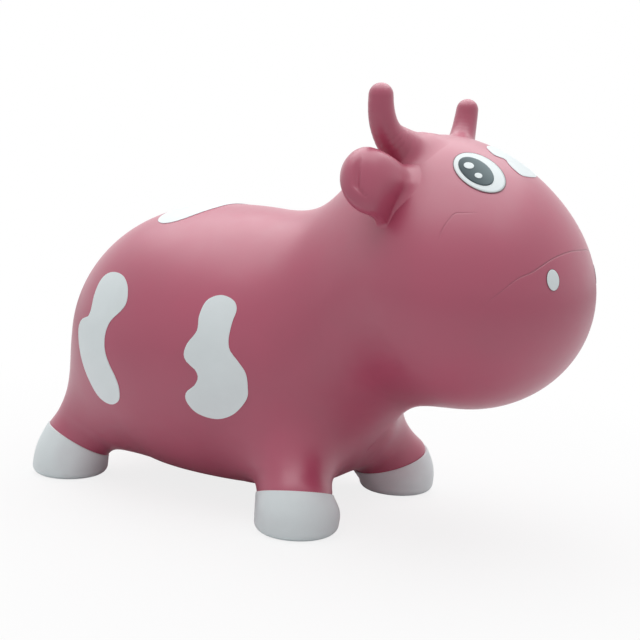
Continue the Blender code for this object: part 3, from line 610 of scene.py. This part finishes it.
def limbGrid(rings, field, limbField, reachOut, limb, sunk=None):
    # tube rings first, each sunk by its own depth; each flare row is a share of the way from the last
    # ring to a rim just under the trunk's skin and a reach out from the limb, settled, and the last rows sink
    tube = np.stack(rings)
    shape = tube.shape
    level = 0.0 if sunk is None else -np.repeat(sunk, shape[1])
    tube = settle(field, tube.reshape(-1, 3), level, rounds=14).reshape(shape)
    last = tube[-1]
    outward = unit(last - last.mean(axis=0))
    rim = last + outward * limb["flareSpread"]
    rim = settleOnBoth(trunkField, -toy["tuck"], limbField, reachOut, rim, 60)
    share = np.linspace(0, 1, limb["flareRows"] + 1)[1:, None, None]
    flare = last + (rim - last) * share
    sunk = -toy["tuck"] * smooth((share - 0.7) / 0.3)
    level = np.broadcast_to(sunk[..., 0], flare.shape[:2]).reshape(-1)
    flare = settle(field, flare.reshape(-1, 3), level, rounds=16).reshape(flare.shape)
    flare[-1] = rim
    return np.concatenate([tube, flare])


def legPiece(pair, sideName, side):
    # rings of the ankle's radius up the leg's axis, cut by leaning planes, and a flare into the body
    place = legPlaces(pair, side)
    middle, normal, axis = place["rim"], place["normal"], place["axis"]
    around = circle(legs["sides"], *ringAxes(axis))
    lowest = (middle - place["collar"]) @ normal / (axis @ normal) - legs["sunkInHoof"]
    shares = np.linspace(0, 1, legs["tubeRows"])
    rings = []
    for share in shares:  # from a ring in the rim's plane, a little into the hoof, to one square to the leg
        centre = place["collar"] + axis * (lowest + (legs["tubeEnd"] - lowest) * share)
        square = smooth(share * legs["squaring"])
        plane = normal * (1 - square) + axis * square
        slide = -(around @ plane) / (axis @ plane)
        rings.append(centre + (around + slide[:, None] * axis) * legs["ankleRadius"])
    sunk = legs["drawnIn"] * (1 - smooth(shares / legs["drawnInShare"]))
    joined = ankleField(place)
    grid = limbGrid(rings, joined, legField(place), legs["flareReach"], legs, sunk)
    name = sideName + "_" + pair
    piece = surface(name + "LegSkin", grid, pinkVinyl, normals=slope(joined, grid.reshape(-1, 3)))
    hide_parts(name + "_leg")
    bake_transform(piece)


hooves = {
    "soleRadius": 0.0412, "radius": 0.0432, "edge": 0.009, "rimRadius": 0.038, "rim": 0.0011, "proud": 0.0011,
    "leanOut": 0.006, "soleShares": (0.25, 0.6, 0.9),
    "sides": 72, "edgeRows": 9, "wallRows": 22, "lipRows": 5,
}


def rimRing(place, leaning, proud):  # where the leg's skin, or a level outside it, crosses the rim's plane
    def plane(points):
        return (points - place["rim"]) @ place["normal"]
    ring = place["rim"] + leaning * hooves["rimRadius"]
    return settleOnBoth(ankleField(place), proud, plane, 0.0, ring, 30)


def hoofPiece(pair, sideName, side):
    # rings from the sole's middle over its rounded edge, up a bulging wall to the leaning rim and in
    place = legPlaces(pair, side)
    foot, plane = place["foot"], place["normal"]
    edge, rim = hooves["edge"], hooves["rim"]
    around = circle(hooves["sides"], forward, leftward)
    leaning = circle(hooves["sides"], *ringAxes(plane))
    flat = hooves["soleRadius"] - edge
    rings = [foot + around * flat * share for share in hooves["soleShares"]]
    for angle in np.linspace(0, math.pi / 2, hooves["edgeRows"]):
        rings.append(foot + around * (flat + edge * math.sin(angle)) + edge * (1 - math.cos(angle)) * upward)
    low = rings[-1]
    outer = rimRing(place, leaning, hooves["proud"])
    top = outer - plane * rim
    overhang = np.linalg.norm((top - foot)[:, :2], axis=1, keepdims=True) - hooves["soleRadius"]
    bulge = hooves["radius"] - (hooves["soleRadius"] + hooves["rimRadius"]) / 2
    bulge = bulge * (1 - smooth(overhang / hooves["leanOut"] + 1))  # none where the rim leans out
    for share in np.linspace(0, 1, hooves["wallRows"])[1:-1]:
        rings.append(low + (top - low) * share + around * bulge * math.sin(math.pi * share))
    for angle in np.linspace(0, math.pi / 2, hooves["lipRows"]):  # rounded lip against the leg
        rings.append(outer - leaning * rim * (1 - math.cos(angle)) - plane * rim * (1 - math.sin(angle)))
    rings.append(outer - leaning * 4 * rim - plane * 2 * rim)
    rings.append(place["rim"] + leaning * hooves["rimRadius"] * 0.5 - plane * 2 * rim)
    piece = surface(sideName + "_" + pair + "Hoof", np.stack(rings), whitePaint, caps=(True, True))
    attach(piece, "feet")
    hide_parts(sideName + "_" + pair + "_hoof")


for sideName, side in bothSides:
    for pair in ("front", "hind"):
        legPiece(pair, sideName, side)
        hoofPiece(pair, sideName, side)
print("legs and hooves made")


# Horns: a round bar along a curve from base past bend to tip, run into the head

horns = {
    "curve": ((ahead(0.4306), 0.0335, 0.3680), (ahead(0.4134), 0.0860, 0.3670),
              (ahead(0.4158), 0.0910, 0.4162)),
    "rootRadius": 0.0166, "tipRadius": 0.0114, "blend": 0.017, "parting": 0.40, "bendHalf": 0.12,
    "swelling": 0.0030, "swellingShare": 0.28, "swellingReach": 0.20, "sides": 56, "tubeRows": 34,
    "tubeFrom": 0.30, "tipRows": 10, "flareRows": 18, "flareReach": 0.93, "flareSpread": 0.012,
}


def hornRadius(share):  # from root to tip evenly, with a bell-shaped swelling at the bend
    root, tip = horns["rootRadius"], horns["tipRadius"]
    bell = math.exp(-((share - horns["swellingShare"]) / horns["swellingReach"]) ** 2)
    return root + (tip - root) * share + horns["swelling"] * bell


def hornField(side, parts=14):  # nearest of a row of bars along the curve
    shares = np.linspace(0, 1, parts + 1)
    centres = mirrored(quadratic(horns["curve"], shares)[0], side)
    radii = [hornRadius(share) for share in shares]
    return lambda points: np.min([bar(points, centres[i], centres[i + 1], radii[i], radii[i + 1])
                                  for i in range(parts)], axis=0)


def hornPiece(sideName, side):
    # rings of a quarter circle's round end, then rings down the curve, and a flare into the head
    alone = hornField(side)

    def joined(points):
        return softUnion(alone(points), trunkField(points), horns["blend"])
    centre, heading = quadratic(horns["curve"], 1.0)
    around = circle(horns["sides"], *ringAxes(heading[0]))
    rings = [centre + horns["tipRadius"] * (around * math.cos(angle) + heading * math.sin(angle))
             for angle in np.linspace(math.pi / 2, 0, horns["tipRows"] + 1)[1:-1]]
    for share in np.linspace(1, horns["tubeFrom"], horns["tubeRows"]):
        centre, heading = quadratic(horns["curve"], share)
        rings.append(centre + circle(horns["sides"], *ringAxes(heading[0])) * hornRadius(share))
    rings = [mirrored(ring, side) for ring in rings]
    grid = limbGrid(rings, joined, alone, horns["blend"] * horns["flareReach"], horns)
    top = slope(joined, grid[0].mean(axis=0)[None])
    piece = surface(sideName + "HornSkin", grid, pinkVinyl, caps=(True, False),
                    normals=slope(joined, grid.reshape(-1, 3)), ends=top)
    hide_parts(sideName + "_horn_root", sideName + "_horn")
    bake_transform(piece)


# Ears: upright oval sections along a curve back from the head, each a fat roll whose foot leans back,
# with a fold where the end curls round, run into the head by a curved fillet

ears = {
    "curve": ((ahead(0.442), 0.055, 0.330), (ahead(0.434), 0.104, 0.337), (ahead(0.405), 0.136, 0.340)),
    "front": 0.0230, "behind": 0.0165, "neck": 0.0105, "halfHeight": 0.0335, "topHeavy": 0.35, "widest": 0.70,
    "turn": math.radians(32), "parting": 0.64, "bendHalf": 0.008, "rows": 220, "sides": 112, "sway": 0.09,
    "filletRows": 14, "fillet": 0.012, "lowFillet": 0.004, "filletReach": 1.15, "filletPull": 1.1,
    # shares along the ear, then shares of the half height above and below its middle line and of the lean
    "along": (0.00, 0.15, 0.30, 0.42, 0.52, 0.60, 0.70, 1.00),
    "above": (0.46, 0.54, 0.66, 0.77, 0.86, 0.92, 0.97, 0.97),
    "below": (0.42, 0.48, 0.76, 1.06, 1.08, 1.02, 0.98, 0.98),
    "flap": (0.00, 0.45, 0.90, 1.00, 0.65, 0.30, 0.00, 0.00), "flapBack": 0.016,
    # the fold: its share along the ear at shares of the height, its depth, and its two walls in shares
    "foldHeights": (-0.79, -0.75, -0.70, -0.60, -0.30, 0.10, 0.45),
    "foldShares": (0.740, 0.785, 0.825, 0.856, 0.864, 0.862, 0.846),
    "foldDepth": 0.0035, "foldWalls": (0.018, 0.075), "foldEnds": (-0.85, -0.45, -0.25, 0.60),
}


def earTable(name, share):  # straight lines between the values, averaged over a share to either side
    near = np.linspace(-ears["sway"], ears["sway"], 13)
    weight = 1 + np.cos(near / ears["sway"] * math.pi)
    return float(np.interp(share + near, ears["along"], ears[name]) @ weight / weight.sum())


def earPlace(share):  # middle and heading of the ear's section at a share of its curve
    centre, heading = quadratic(ears["curve"], share)
    return centre[0], heading[0]


def earGrid():
    # ovals from the root inside the head to the end: their depth grows smoothly to the widest share and falls
    # as half a circle beyond it, and a flap and a fold are taken off
    turn = turns(ears["sides"])
    v, facing = np.sin(turn), smooth((np.cos(turn) + 0.05) / 0.4)
    low, lowFull, highFull, high = ears["foldEnds"]
    steep, easy = ears["foldWalls"]
    along = smooth((v - low) / (lowFull - low)) * smooth((high - v) / (high - highFull)) * facing
    rings = []
    for share in np.sin(np.linspace(0, 1, ears["rows"])[:-1] * math.pi / 2):
        centre, heading = earPlace(share)
        level, below = ringAxes(heading)
        front = level * math.cos(ears["turn"]) - below * math.sin(ears["turn"])
        raised = -below * math.cos(ears["turn"]) - level * math.sin(ears["turn"])
        past = max(share - ears["widest"], 0) / (1 - ears["widest"])
        lobe = math.sqrt(max(1 - past * past, 0))
        swell = float(smooth(share / ears["widest"]))
        full = np.where(np.cos(turn) > 0, ears["front"], ears["behind"])
        depth = (ears["neck"] + (full - ears["neck"]) * swell) * lobe
        depth = depth * (1 + ears["topHeavy"] * v * smooth(np.cos(turn) * 3))
        height = np.where(v > 0, earTable("above", share), earTable("below", share))
        height = ears["halfHeight"] * lobe * height
        gone = share - np.interp(v, ears["foldHeights"], ears["foldShares"])
        fold = smooth(gone / steep) * (1 - smooth((gone - steep) / easy)) * along
        flap = ears["flapBack"] * earTable("flap", share) * smooth((-v - 0.15) / 0.75)
        out = depth * np.cos(turn) - ears["foldDepth"] * fold - flap
        rings.append(centre + np.outer(out, front) + np.outer(height * v, raised))
    return np.stack(rings)


def filleted(grid):
    # Each line of the grid is followed from its end to a fillet's length above the skin. A cubic with the
    # line's slope there and the skin's slope at its foot takes it from there to a rim under the skin.
    rows, columns = grid.shape[:2]
    height = trunkField(grid.reshape(-1, 3)).reshape(rows, columns)
    steps = np.linalg.norm(np.diff(grid, axis=0), axis=2)
    length = np.concatenate([np.zeros((1, columns)), np.cumsum(steps, axis=0)])
    inner = rows - 1 - np.argmax(height[::-1] < 0, axis=0)
    column = np.arange(columns)
    part = height[inner, column] / (height[inner, column] - height[inner + 1, column])
    crossing = length[inner, column] + part * (length[inner + 1, column] - length[inner, column])

    def along(distance):  # points of every line at distances from its root
        return np.stack([[np.interp(distance[i], length[:, i], grid[:, i, axis]) for i in range(columns)]
                         for axis in range(3)], axis=1)
    turn = 2 * math.pi * column / columns
    fillet = ears["lowFillet"] + (ears["fillet"] - ears["lowFillet"]) * smooth((np.sin(turn) + 0.75) / 0.6)
    foot, leave = along(crossing), along(crossing + fillet)
    slant = unit(leave - along(crossing + fillet + 0.001))
    skinNormal = slope(trunkField, foot)
    outward = foot - foot.mean(axis=0)
    outward = unit(outward - np.sum(outward * skinNormal, axis=1)[:, None] * skinNormal)
    rim = settle(trunkField, foot + outward * fillet[:, None] * ears["filletReach"], -toy["tuck"])
    flat = slope(trunkField, rim)
    arrive = outward - np.sum(outward * flat, axis=1)[:, None] * flat
    pull = ears["filletPull"] * np.linalg.norm(rim - leave, axis=1)[:, None]
    curve = []
    for t in np.linspace(0, 1, ears["filletRows"])[:-1]:  # from the rim, where t is 0, to the line
        curve.append(rim * (2 * t**3 - 3 * t**2 + 1) - arrive * pull * (t**3 - 2 * t**2 + t)
                     + leave * (3 * t**2 - 2 * t**3) - slant * pull * (t**3 - t**2))
    rest = [along(crossing + fillet + share * (length[-1] - crossing - fillet))
            for share in np.linspace(0, 1, ears["rows"])]
    return np.stack(curve + rest)


def gridNormals(grid):  # square to the steps along rows and columns, turned outwards
    around = np.roll(grid, -1, axis=1) - np.roll(grid, 1, axis=1)
    normals = unit(np.cross(around, np.gradient(grid, axis=0)))
    inside = np.sum(normals * (grid - grid.mean(axis=1, keepdims=True))) < 0
    return -normals if inside else normals


def earPiece(sideName, side):
    grid = filleted(earGrid())
    normals = gridNormals(grid)
    normals[0] = slope(trunkField, grid[0])
    piece = surface(sideName + "EarSkin", mirrored(grid, side), pinkVinyl, caps=(False, True),
                    normals=mirrored(normals, side), ends=[mirrored(earPlace(1.0)[1], side)])
    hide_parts(sideName + "_ear_root", sideName + "_ear")
    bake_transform(piece)


for sideName, side in bothSides:
    hornPiece(sideName, side)
    earPiece(sideName, side)
print("horns and ears made")


# Painted marks: sheets between two smooth edges, pressed onto the skin

marks = {
    "film": 0.0004, "wall": 0.0006, "lift": 0.0001, "rows": 56, "columns": 22,
    "flankStart": 0.12, "backStart": 0.29,  # near the skin, from where the sheets are pressed on
    "flank": {"station": 0.242, "height": 0.1014, "length": 0.0636, "rise": 0.1213, "shares": [
        (0.41, 1.00), (0.22, 0.95), (0.16, 0.83), (0.17, 0.71), (0.04, 0.60), (0.00, 0.51), (0.06, 0.45),
        (0.19, 0.40), (0.24, 0.34), (0.18, 0.27), (0.03, 0.20), (0.02, 0.12), (0.17, 0.03), (0.47, 0.00),
        (0.76, 0.06), (0.97, 0.19), (1.00, 0.30), (0.97, 0.41), (0.85, 0.50), (0.72, 0.58), (0.68, 0.67),
        (0.69, 0.80), (0.71, 0.90), (0.62, 0.97)]},
    "rump": {"station": 0.099, "height": 0.100, "length": 0.0692, "rise": 0.134, "shares": [
        (0.57, 1.00), (0.39, 0.98), (0.29, 0.92), (0.27, 0.82), (0.29, 0.70), (0.22, 0.635), (0.08, 0.62),
        (0.00, 0.55), (0.05, 0.43), (0.14, 0.30), (0.27, 0.17), (0.42, 0.05), (0.58, 0.00), (0.75, 0.00),
        (0.90, 0.05), (0.95, 0.14), (0.91, 0.23), (0.80, 0.33), (0.72, 0.43), (0.71, 0.55), (0.78, 0.65),
        (0.95, 0.74), (1.00, 0.81), (0.93, 0.91), (0.77, 0.98)]},
    "back": {"station": 0.132, "length": 0.072, "width": 0.156, "shares": [
        (0.01, 0.19), (0.05, 0.11), (0.12, 0.055), (0.21, 0.02), (0.32, 0.00), (0.44, 0.006), (0.535, 0.027),
        (0.63, 0.067), (0.71, 0.127), (0.77, 0.187), (0.82, 0.25), (0.845, 0.32), (0.845, 0.40),
        (0.86, 0.58), (0.985, 0.74), (0.895, 0.88), (0.62, 0.945), (0.30, 0.865), (0.15, 0.705),
        (0.225, 0.535), (0.06, 0.36)]},
    "blaze": {"station": 0.5085, "length": 0.053, "width": 0.041, "shares": [
        (0.05, 0.20), (0.30, 0.01), (0.47, 0.15), (0.61, 0.05), (0.77, 0.00), (0.94, 0.06), (1.00, 0.50),
        (0.92, 0.88), (0.70, 1.00), (0.47, 0.86), (0.28, 0.94), (0.10, 0.82), (0.00, 0.50)]},
}


def closedCurve(knots, steps=24):  # a smooth closed line through knots
    t = np.linspace(0, 1, steps, endpoint=False)[None, :, None]
    near = (np.roll(np.array(knots), shift, axis=0)[:, None] for shift in (1, 0, -1, -2))
    return cubic(*near, t).reshape(-1, 2)


def ribbon(line, along=1):
    # grid between the two sides of a closed line that each level crosses twice; rows crowd at both ends
    level, across = line[:, along], line[:, 1 - along]
    top, bottom = int(np.argmax(level)), int(np.argmin(level))
    order = np.roll(np.arange(len(line)), -top)
    cut = int(np.nonzero(order == bottom)[0][0])
    rows, share = ((1 - np.cos(np.linspace(0, 1, marks[name]) * math.pi)) / 2 for name in ("rows", "columns"))
    rows = level[bottom] + (level[top] - level[bottom]) * rows
    edges = []
    for part in (order[:cut + 1], np.concatenate([order[cut:], order[:1]])):
        rising = part[np.argsort(level[part], kind="stable")]
        edges.append(np.interp(rows, level[rising], across[rising]))
    u = edges[0][:, None] + (edges[1] - edges[0])[:, None] * share
    v = np.broadcast_to(rows[:, None], u.shape)
    return (u, v) if along == 1 else (v, u)


def pressed(points, way, level, rounds=40):  # points slid one way until the skin's field has a level
    flat = points.reshape(-1, 3).copy()
    for _ in range(rounds):
        flat = flat - (0.8 * (bodyField(flat) - level))[:, None] * way
    return flat.reshape(points.shape)


def markPiece(name, points, way, node):  # a sheet pressed onto the skin, with a wall behind it
    grid = pressed(points, np.array(way, float), marks["lift"] + marks["film"])
    piece = surface(name, grid, whitePaint, closed=False, normals=slope(bodyField, grid.reshape(-1, 3)))
    thicken(piece, marks["wall"])
    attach(piece, "body")
    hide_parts(node)


for sideName, side in bothSides:
    for name in ("flank", "rump"):
        spec = marks[name]
        x, z = ribbon(closedCurve(spec["shares"]) * (spec["length"], spec["rise"]))
        y = np.full(x.shape, side * marks["flankStart"])
        points = np.stack([ahead(spec["station"]) + x, y, spec["height"] + z], axis=2)
        markPiece(sideName + name.title() + "Mark", points, (0, side, 0), sideName + "_" + name + "_mark")
spec = marks["back"]
x, y = ribbon((closedCurve(spec["shares"]) - (0, 0.5)) * (spec["length"], spec["width"]))
points = np.stack([ahead(spec["station"]) + x, y, np.full(x.shape, marks["backStart"])], axis=2)
markPiece("backMark", points, (0, 0, 1), "back_mark")
spec = marks["blaze"]
blazePoint = reach(bodyField, np.array([ahead(spec["station"]), 0, trunk["crown"][0][2]]), upward[None])[0]
blazeNormal = slope(bodyField, blazePoint[None])[0]
x, y = ribbon((closedCurve(spec["shares"]) - 0.5) * (spec["length"], spec["width"]), along=0)
points = blazePoint + x[..., None] * np.cross(leftward, blazeNormal) + y[..., None] * leftward
markPiece("blazeMark", points, blazeNormal, "blaze")
print("marks made")


# Face: eyes and nostrils are ovals in polar grids, pressed onto the skin

face = {
    "eyeTurn": math.radians(36.2), "eyeLift": math.radians(35.2), "eyeLean": math.radians(23),
    "eyeHalf": (0.0213, 0.0288), "pupilHalf": (0.0137, 0.0208), "pupilPlace": (0.0032, 0.0014),
    "upperGlint": (0.0046, 0.0060, 0.0094), "lowerGlint": (0.0035, 0.0056, -0.0059),
    "nostrilTurn": math.radians(29.3), "nostrilLift": math.radians(14.4), "nostrilHalf": (0.0072, 0.0092),
    "eyeLine": 0.00055, "nostrilLine": 0.0004, "eyeLineLift": 0.00005, "nostrilLineLift": -0.00004,
    "film": 0.0004, "step": 0.00035, "sides": 64, "rows": 12,
}


def ovalGrid(half, centre, inner):  # oval rings from an inner share of the half sizes to the whole
    turn = turns(face["sides"])[None]
    share = np.linspace(max(inner, 0.04), 1, face["rows"])[:, None]
    return centre[0] + share * half[0] * np.cos(turn), centre[1] + share * half[1] * np.sin(turn)


def facePiece(name, spot, lean, half, paint, level, centre=(0, 0), inner=0.0, node=None):
    # an oval or an oval ring, leaning in the plane that touches the skin at a spot
    point, normal = spot
    across = np.array([-normal[1], normal[0], 0]) / math.hypot(normal[0], normal[1])
    up = np.cross(normal, across)
    x, y = ovalGrid(half, centre, inner)
    c, s = math.cos(lean), math.sin(lean)
    points = point + (x * c - y * s)[..., None] * across + (x * s + y * c)[..., None] * up
    grid = pressed(points, normal, level)
    whole = inner == 0
    ends = slope(bodyField, grid[0].mean(axis=0)[None]) if whole else ()
    piece = surface(name, grid, paint, caps=(whole, False), normals=slope(bodyField, grid.reshape(-1, 3)),
                    ends=ends)
    thicken(piece, face["film"])
    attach(piece, "body")
    if node:
        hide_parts(node)
    return piece, x


def faceSpot(name, centre, side):  # where a turned and lifted way from the middle of a form leaves the skin
    turn, lift = face[name + "Turn"], face[name + "Lift"]
    way = np.array([math.cos(lift) * math.cos(turn), side * math.cos(lift) * math.sin(turn), math.sin(lift)])
    point = reach(bodyField, np.array(centre), way[None])[0]
    return point, slope(bodyField, point[None])[0]


def linedOval(name, white, spot, lean, sideName):  # a white oval, and a thin dark line round its edge
    half = np.array(face[name + "Half"])
    outer = half + face[name + "Line"]
    facePiece(sideName + name.title() + white, spot, lean, half, whitePaint, marks["lift"] + face["film"],
              node=sideName + "_" + name)
    facePiece(sideName + name.title() + "Line", spot, lean, outer, linePaint,
              marks["lift"] + face["film"] + face[name + "LineLift"], inner=float((half / outer).min()))


def facePieces(sideName, side):  # eye, pupil and its glints, each a step higher, and nostril
    eye = faceSpot("eye", trunk["crown"][0], side)
    lean = -side * face["eyeLean"]
    linedOval("eye", "White", eye, lean, sideName)
    level = marks["lift"] + face["film"] + face["step"]
    inward, rise = face["pupilPlace"]
    piece, x = facePiece(sideName + "Pupil", eye, lean, face["pupilHalf"], pupilPaint, level,
                         centre=(side * inward, rise), node=sideName + "_pupil")
    # painted reflection: a share that grows from one side of the pupil to the other, read by its finish
    shade = (0.5 - 0.5 * side * (x - side * inward) / face["pupilHalf"][0]).reshape(-1)
    paintOn(piece, "pupilReflectionShare", np.concatenate([shade, shade[:1]]))
    for ending in ("upper", "lower"):
        radius, inward, rise = face[ending + "Glint"]
        facePiece(sideName + ending.title() + "Glint", eye, lean, (radius, radius), whitePaint,
                  level + face["step"], centre=(side * inward, rise), node=sideName + "_" + ending + "_glint")
    linedOval("nostril", "Dot", faceSpot("nostril", trunk["muzzle"][0], side), 0, sideName)


for sideName, side in bothSides:
    facePieces(sideName, side)
print("face made")


# Air valve: seat and plug turned about the valve's axis

def turnedPiece(name, profile, body, node, ring):  # a profile of radii and heights carried round the axis
    around = circle(valve["sides"], leftward, valveUp)
    grid = np.stack([valvePoint + around * radius + valveNormal * height for radius, height in profile])
    piece = surface(name, grid, milkyVinyl, ring=ring, caps=(not ring, not ring))
    piece.data.set_sharp_from_angle(angle=valve["sharp"])
    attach(piece, body)
    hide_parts(node)


def arc(centre, radius, first, last, count):  # radii and heights round part of a circle
    return [(centre[0] + radius * math.cos(a), centre[1] + radius * math.sin(a))
            for a in np.linspace(first, last, count)]


def valvePieces():
    lip, out, bore, edge = valve["lip"], valve["seatRadius"], valve["bore"], valve["seatEdge"]
    seat = [(out, -valve["seatDepth"]), (bore, -valve["seatDepth"])]
    seat += arc((bore + edge, lip - edge), edge, math.pi, math.pi / 2, 5)
    seat += arc((out - lip / 2, lip / 2), lip / 2, math.pi / 2, 0, 7)
    turnedPiece("valveSeatRing", seat, "body", "valve_seat", ring=True)
    low = lip + valve["gap"]
    head, rounding, hollow = valve["headRadius"], valve["headHeight"] / 2, valve["hollow"]
    stem = bore - valve["gap"]
    plug = [(hollow, low + 2 * rounding)]
    plug += arc((head - rounding, low + rounding), rounding, math.pi / 2, -math.pi / 2, 13)
    plug += [(stem + past, low - below) for past, below in valve["stemSteps"]]
    end = low - valve["stem"]
    plug += [(stem, end), (valve["tipRadius"], end - valve["tip"] * 0.8),
             (valve["tipRadius"] - hollow, end - valve["tip"]), (hollow, end - valve["tip"])]
    turnedPiece("valvePlugTurned", plug, "stopper", "valve_plug", ring=False)


valvePieces()
print("valve made")


# Floor, light and background

studio = {
    "floorHalf": 14.0, "floor": (0.86, 0.86, 0.865), "floorGlow": 0.82, "glowFrom": 0.25, "glowTo": 0.85,
    "fill": 0.35, "lampPower": 67.0, "lampSize": 3.4, "lampPlace": (-0.2, 0.3, 2.4), "lampAim": (0, 0, 0.2),
}


def addFloor():  # matt, but nearly white to the camera, and quite white away from the toy
    half = studio["floorHalf"]
    sheet = bpy.data.meshes.new("floor")
    corners = [(-half, -half, 0), (half, -half, 0), (half, half, 0), (-half, half, 0)]
    sheet.from_pydata(corners, [], [(0, 1, 2, 3)])
    finish = bpy.data.materials.new("paleFloor")
    finish.use_nodes = True
    tree = finish.node_tree
    tree.nodes.clear()
    matt = add(tree, "BsdfDiffuse", Color=(*studio["floor"], 1))["BSDF"]
    away = add(tree, "VectorMath", add(tree, "TexCoord")["Object"], set_operation="LENGTH")["Value"]
    far = add(tree, "MapRange", set_interpolation_type="SMOOTHSTEP", Value=away, From_Min=studio["glowFrom"],
              From_Max=studio["glowTo"], To_Min=studio["floorGlow"])["Result"]
    seen = maths(tree, "MULTIPLY", far, add(tree, "LightPath")["Is Camera Ray"])
    mixed = add(tree, "MixShader", seen, matt, add(tree, "Emission")["Emission"])
    add(tree, "OutputMaterial", Surface=mixed["Shader"])
    sheet.materials.append(finish)
    floor = bpy.data.objects.new("floor", sheet)
    scene.collection.objects.link(floor)


def addWorld():  # a fill light, but plain white to the camera, in reflections and through clear pieces
    world = bpy.data.worlds.new("studio")
    scene.world = world
    world.use_nodes = True
    tree = world.node_tree
    tree.nodes.clear()
    path = add(tree, "LightPath")
    fill, plain = (add(tree, "Background", Color=(1, 1, 1, 1), Strength=strength)["Background"]
                   for strength in (studio["fill"], 1.0))
    seen = path["Is Camera Ray"]
    for name in ("Is Glossy Ray", "Is Transmission Ray"):
        seen = maths(tree, "MAXIMUM", seen, path[name])
    add(tree, "OutputWorld", Surface=add(tree, "MixShader", seen, fill, plain)["Shader"])


def addLamp():  # one large soft lamp above and behind, turned to the toy
    lamp = bpy.data.lights.new("softbox", "AREA")
    lamp.shape = "SQUARE"
    lamp.size = studio["lampSize"]
    lamp.energy = studio["lampPower"]
    box = bpy.data.objects.new("softbox", lamp)
    box.location = place = Vector(studio["lampPlace"])
    box.rotation_euler = (place - Vector(studio["lampAim"])).to_track_quat("Z", "Y").to_euler()
    scene.collection.objects.link(box)


addFloor()
addWorld()
addLamp()
scene.view_settings.view_transform = "Standard"
